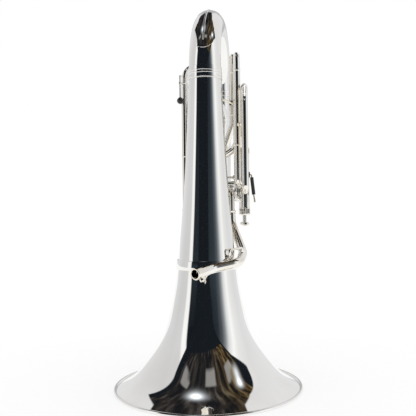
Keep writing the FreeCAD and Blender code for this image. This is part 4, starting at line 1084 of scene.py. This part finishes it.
class TUBA_OT_slides(bpy.types.Operator):
    """Bends the slides that pull out, with the sleeves and the knob of the main one"""
    bl_idname = "tuba.slides"
    bl_label = "Slides"

    def execute(self, context):
        first = slide_line(*[(SLIDE_1_X, y) for y in SLIDE_1_YS], *SLIDE_1_BOW)
        tubes("valve_slide_1_bow", [first], "slide_1", "valve_slide_1")
        third = slide_line(*[(SLIDE_3_X, y) for y in SLIDE_3_YS], *SLIDE_3_BOW)
        tubes("valve_slide_3_bow", [third], "slide_3", "valve_slide_3")
        start, crown = SLIDE_2_BOW
        half = (UPPER_Z - LOWER_Z) / 2
        corners = ((start, UPPER_Z), (crown, UPPER_Z), (crown, LOWER_Z), (start, LOWER_Z))
        second = rounded_route([(x, VALVE_YS[2], z) for x, z in corners], (half, half))
        tubes("valve_slide_2_bow", [(second, TUBE)], "slide_2", "valve_slide_2")
        main_slide = slide_line(TUNING_NEAR, TUNING_FAR, *TUNING_BOW)
        tubes("main_tuning_bow", [main_slide], "tuning_slide", "main_tuning_slide")
        sleeves = []
        for place, foot in zip((TUNING_NEAR, TUNING_FAR), TUNING_FEET):
            sleeves += sleeve(place, foot, TUNING_HEAD)
        tubes("tuning_outer_tubes", sleeves, "horn", "tuning_sleeves")
        knob = lathe(self.knob(), KNOB_SIDES, KNOB_PLACE, closed=False)
        link_piece("tuning_pull_knob", knob, "tuning_slide", ["pull_knob"], "knob_plastic")
        return {"FINISHED"}

    def knob(self):
        """A ball on a short neck."""
        profile = [(0, KNOB_Z - KNOB_RADIUS)]
        for i in range(1, KNOB_STEPS + 1):
            angle = -math.pi / 2 + math.pi * KNOB_SHARE * i / KNOB_STEPS
            profile.append((KNOB_RADIUS * math.cos(angle), KNOB_Z + KNOB_RADIUS * math.sin(angle)))
        return profile + list(KNOB_NECK)


class TUBA_OT_feed(bpy.types.Operator):
    """Draws the feed tube from the front valve to the main tuning slide"""
    bl_idname = "tuba.feed"
    bl_label = "Feed tube"

    def execute(self, context):
        top = FEED_TOP_Z - TUBE
        front, back = FEED_YS
        climb = ((FEED_START_Y, PORT_Z), (front, PORT_Z), (front, top), (back, top))
        route = [(VALVE_X, y, z) for y, z in climb]
        route += [(x, back, z) for z, x in FEED_LEAN]
        route.append((FEED_LEAN[-1][1], back, FEED_LOW_Z))
        route += [(*place, FEED_LOW_Z) for place in FEED_BEHIND]
        route.append((*TUNING_NEAR, TUNING_FEET[0] + SLEEVE_LAP))
        lines = [(rounded_route(route, FEED_BENDS), TUBE)]
        lines += [bead((VALVE_X, y), FEED_RING_Z, TUBE, *FEED_RING) for y in FEED_YS]
        tubes("feed_tube_run", lines, "horn", "feed_tube")
        return {"FINISHED"}


class TUBA_OT_leadpipe(bpy.types.Operator):
    """Sweeps the leadpipe round the bell, from its receiver to the rear valve"""
    bl_idname = "tuba.leadpipe"
    bl_label = "Leadpipe"

    def execute(self, context):
        route = [tuple(self.behind_mouth(RECEIVER_DEPTH)), *LEAD_CORNERS, (*LEAD_TOP, LEAD_HEAD_Z)]
        sweep = [(rounded_route(route, LEAD_BENDS), LEAD_RADIUS)]
        tubes("leadpipe_sweep", sweep, "horn", "leadpipe", wall=LEAD_WALL, sides=LEAD_SIDES)
        entry = [
            (*LEAD_TOP, ENTRY_FOOT_Z), (*LEAD_TOP, PORT_Z), (LEAD_TOP[0], ENTRY_Y, PORT_Z),
            (VALVE_X, ENTRY_Y, PORT_Z), (VALVE_X, ENTRY_END_Y, PORT_Z),
        ]
        ring = ([(*LEAD_TOP, LEAD_HEAD_Z + rise) for rise, r in ENTRY_RING], [r for rise, r in ENTRY_RING])
        lines = [(rounded_route(entry, ENTRY_BENDS), TUBE), ring]
        tubes("leadpipe_entry_tube", lines, "horn", "leadpipe_entry")
        self.receiver()
        return {"FINISHED"}

    def behind_mouth(self, distance):
        return MOUTH - FACING * distance

    def receiver(self):
        """The stepped collar and the liner that the neck bit slides in."""
        shell = ([self.behind_mouth(d) for d, r in RECEIVER_STEPS], [r for d, r in RECEIVER_STEPS])
        liner = ([self.behind_mouth(d) for d in (RECEIVER_LIP, RECEIVER_DEPTH)], RECEIVER_LINER)
        outside = tube_mesh("receiver_line", [shell], RECEIVER_WALL * MM, LEAD_SIDES, "tube_silver")
        bore = tube_mesh("receiver_bore", [liner], RECEIVER_LINER_WALL * MM, LEAD_SIDES, "tube_silver")
        link_piece("receiver_collar", joined([outside, bore]), "horn", ["mouthpiece_receiver"], "tube_silver")


class TUBA_OT_fittings(bpy.types.Operator):
    """Finishes the braces, water key, hook, rods and pistons that keep their own solids"""
    bl_idname = "tuba.fittings"
    bl_label = "Fittings"

    def execute(self, context):
        slots = {row["node"]: row["material_slot"] for row in frame["record"]["subparts"]}
        for name, node in frame["nodes"].items():
            material = finish(SLOT_FINISHES[slots[name]])
            node.data.materials.clear()
            node.data.materials.append(material)
            if not node.hide_render:
                add_tree(node, "smooth", {"Material": material})
        return {"FINISHED"}


class TUBA_OT_stage(bpy.types.Operator):
    """Lays the pale floor and sets the lights and the camera"""
    bl_idname = "tuba.stage"
    bl_label = "Stage"

    def execute(self, context):
        scene = context.scene
        scene.view_settings.view_transform = "Standard"
        self.floor(scene)
        self.world(scene)
        self.softbox(scene)
        self.camera(scene)
        return {"FINISHED"}

    def floor(self, scene):
        """A floor that goes over to plain white away from the object, and keeps its shadow near it."""
        mesh = bpy.data.meshes.new("studio_floor")
        corners = [(x * FLOOR_HALF, y * FLOOR_HALF, 0) for x, y in ((-1, -1), (1, -1), (1, 1), (-1, 1))]
        mesh.from_pydata(corners, [], [(0, 1, 2, 3)])
        mat, tree, shader = new_material("pale_floor")
        colour = tuple(scene.tuba_colours.floor)
        stops = ((0.3, tuple(c * 0.99 for c in colour)), (0.7, colour))
        tree.links.new(ramp(tree, noise(tree, 3.0, 2.0), stops), shader.inputs["Base Color"])
        shader.inputs["Roughness"].default_value = 0.85
        shader.inputs["Specular IOR Level"].default_value = 0.2
        glow = add_node(tree, "ShaderNodeEmission", {"Strength": 1.0})
        path = tree.nodes.new("ShaderNodeLightPath")
        seen = calc(tree, "MAXIMUM", path.outputs["Is Camera Ray"], path.outputs["Is Glossy Ray"])
        coords = tree.nodes.new("ShaderNodeTexCoord").outputs["Object"]
        reach = add_node(tree, "ShaderNodeVectorMath", {0: coords}, operation="LENGTH").outputs["Value"]
        white = calc(tree, "MULTIPLY", seen, spread(tree, reach, *FLOOR_WHITE, *FLOOR_WHITE_REACH))
        mix = add_node(tree, "ShaderNodeMixShader", {0: white, 1: shader.outputs[0], 2: glow.outputs[0]})
        out = next(n for n in tree.nodes if n.type == "OUTPUT_MATERIAL")
        tree.links.new(mix.outputs[0], out.inputs["Surface"])
        mesh.materials.append(mat)
        floor = bpy.data.objects.new("studio_floor", mesh)
        scene.collection.objects.link(floor)

    def world(self, scene):
        """Plain white light, and for reflections a room with a dark camera side and ceiling."""
        world = bpy.data.worlds.new("studio")
        scene.world = world
        world.use_nodes = True
        tree = world.node_tree
        tree.nodes.clear()
        coords = tree.nodes.new("ShaderNodeTexCoord").outputs["Generated"]
        x, y, z = add_node(tree, "ShaderNodeSeparateXYZ", {0: coords}).outputs
        turned = calc(tree, "ARCTAN2", x, calc(tree, "MULTIPLY", y, -1.0))
        walls = ramp(tree, calc(tree, "MULTIPLY_ADD", turned, 1 / (2 * math.pi), 0.5), RING_LIGHT)
        walls = blend(tree, spread(tree, z, HAZE_SHARE, 0.0, *HAZE_RISE), walls, HAZE_COLOUR)
        rise = calc(tree, "MAXIMUM", z, CEILING_LOWEST)
        across = calc(tree, "DIVIDE", x, rise)
        back = calc(tree, "DIVIDE", y, rise)
        overhead = self.ceiling_mask(tree, across, back, z)
        colour = blend(tree, overhead, walls, self.ceiling(tree, across, back))
        room = add_node(tree, "ShaderNodeBackground", {"Color": colour})
        plain = add_node(tree, "ShaderNodeBackground", {"Color": (1, 1, 1, 1)})
        glossy = tree.nodes.new("ShaderNodeLightPath").outputs["Is Glossy Ray"]
        choose = add_node(tree, "ShaderNodeMixShader", {0: glossy, 1: plain.outputs[0], 2: room.outputs[0]})
        add_node(tree, "ShaderNodeOutputWorld", {"Surface": choose.outputs[0]})

    def within(self, tree, *depths):
        """One where every depth is above a small edge width, and zero where one of them is negative."""
        mask = 1.0
        for depth in depths:
            mask = calc(tree, "MULTIPLY", mask, spread(tree, depth, 0, 1, 0.0, CEILING_SOFT))
        return mask

    def ceiling_mask(self, tree, across, back, z):
        """How much of a direction is ceiling."""
        before = calc(tree, "MINIMUM", minus(tree, back, CEILING_LEFT_BEND), 0.0)
        drift = calc(tree, "MULTIPLY", before, CEILING_LEFT_LEAN)
        inside_left = minus(tree, minus(tree, across, CEILING_LEFT), drift)
        beyond = calc(tree, "MAXIMUM", minus(tree, back, CEILING_RIGHT_BEND), 0.0)
        right = calc(tree, "MULTIPLY_ADD", beyond, CEILING_RIGHT_LEAN, CEILING_RIGHT)
        inside_right = minus(tree, right, across)
        low, high = CEILING_REAR[0][0], CEILING_REAR[-1][0]
        stops = tuple(((p - low) / (high - low), (q, q, q)) for p, q in CEILING_REAR)
        inside_rear = minus(tree, ramp(tree, spread(tree, across, 0, 1, low, high), stops), back)
        return self.within(tree, inside_left, inside_right, inside_rear, z)

    def ceiling(self, tree, across, back):
        """An unlit ceiling with a dim brown field, pale panels and two lamps."""
        spot = add_node(tree, "ShaderNodeCombineXYZ", {0: across, 1: back}).outputs[0]
        shade = noise(tree, 3.0, 3.0, FIELD_STREAKS, spot)
        golden = spread(tree, across, 0, 1, *FIELD_GOLD_FROM)
        field = blend(tree, golden, ramp(tree, shade, FIELD_BROWN), ramp(tree, shade, FIELD_GOLD))
        inside_left = minus(tree, across, FIELD_LEFT)
        inside_right = minus(tree, FIELD_RIGHT, across)
        inside_front = minus(tree, back, calc(tree, "MULTIPLY_ADD", across, FIELD_SLOPE, FIELD_FRONT))
        colour = blend(tree, self.within(tree, inside_left, inside_right, inside_front), CEILING_DARK, field)
        for x, y in PANEL_PLACES:
            beside = calc(tree, "ABSOLUTE", minus(tree, across, x))
            before = calc(tree, "ABSOLUTE", minus(tree, back, y))
            panel = self.within(tree, minus(tree, PANEL_HALF[0], beside), minus(tree, PANEL_HALF[1], before))
            colour = blend(tree, calc(tree, "MULTIPLY", panel, PANEL_SHARE), colour, PANEL_COLOUR)
        for x, y, core, halo in CEILING_LAMPS:
            away = add_node(tree, "ShaderNodeVectorMath", {0: spot, 1: (x, y, 0)}, operation="DISTANCE")
            glow = calc(tree, "POWER", spread(tree, away.outputs["Value"], 1, 0, core, halo), LAMP_FALL)
            colour = blend(tree, glow, colour, LAMP_COLOUR)
        return colour

    def softbox(self, scene):
        """A wide soft light overhead for the floor's shadow, left out of reflections."""
        light = bpy.data.lights.new("overhead_softbox", "AREA")
        light.energy = SOFTBOX_WATTS
        light.size = SOFTBOX_SIZE
        lamp = bpy.data.objects.new("overhead_softbox", light)
        lamp.location = SOFTBOX_PLACE
        lamp.visible_glossy = False
        scene.collection.objects.link(lamp)

    def camera(self, scene):
        """The camera of the photograph, level but for a small pitch and roll."""
        stage = scene.tuba_stage
        data = bpy.data.cameras.new("photo_camera")
        data.lens = stage.lens
        data.sensor_width = 36.0
        data.sensor_fit = "HORIZONTAL"
        data.shift_x = stage.shift
        camera = bpy.data.objects.new("photo_camera", data)
        level = Matrix.Rotation(math.radians(90) + stage.pitch, 4, "X")
        place = Matrix.Translation((stage.side, -stage.distance, stage.height))
        camera.matrix_world = place @ level @ Matrix.Rotation(stage.roll, 4, "Z")
        scene.collection.objects.link(camera)
        scene.camera = camera


class TUBA_PT_panel(bpy.types.Panel):
    """Lists the steps that dress the tuba"""
    bl_idname = "TUBA_PT_panel"
    bl_label = "Marching tuba"
    bl_space_type = "VIEW_3D"
    bl_region_type = "UI"
    bl_category = "Tuba"

    def draw(self, context):
        for group in (context.scene.tuba_sizes, context.scene.tuba_colours, context.scene.tuba_stage):
            for name in group.__annotations__:
                self.layout.prop(group, name)
        for operator in OPERATORS:
            self.layout.operator(operator.bl_idname)


OPERATORS = (
    TUBA_OT_bell, TUBA_OT_bows, TUBA_OT_guard, TUBA_OT_valves, TUBA_OT_valve_tubing,
    TUBA_OT_slides, TUBA_OT_feed, TUBA_OT_leadpipe, TUBA_OT_fittings, TUBA_OT_stage,
)
GROUPS = {"tuba_sizes": TUBA_Sizes, "tuba_colours": TUBA_Colours, "tuba_stage": TUBA_Stage}


def register():
    for name, group in GROUPS.items():
        bpy.utils.register_class(group)
        setattr(bpy.types.Scene, name, PointerProperty(type=group))
    for operator in OPERATORS:
        bpy.utils.register_class(operator)
    bpy.utils.register_class(TUBA_PT_panel)


def unregister():
    bpy.utils.unregister_class(TUBA_PT_panel)
    for operator in reversed(OPERATORS):
        bpy.utils.unregister_class(operator)
    for name, group in GROUPS.items():
        delattr(bpy.types.Scene, name)
        bpy.utils.unregister_class(group)


def main():
    register()
    bpy.ops.tuba.bell()
    bpy.ops.tuba.bows()
    bpy.ops.tuba.guard()
    bpy.ops.tuba.valves()
    bpy.ops.tuba.valve_tubing()
    bpy.ops.tuba.slides()
    bpy.ops.tuba.feed()
    bpy.ops.tuba.leadpipe()
    bpy.ops.tuba.fittings()
    bpy.ops.tuba.stage()


if __name__ == "__main__":
    main()
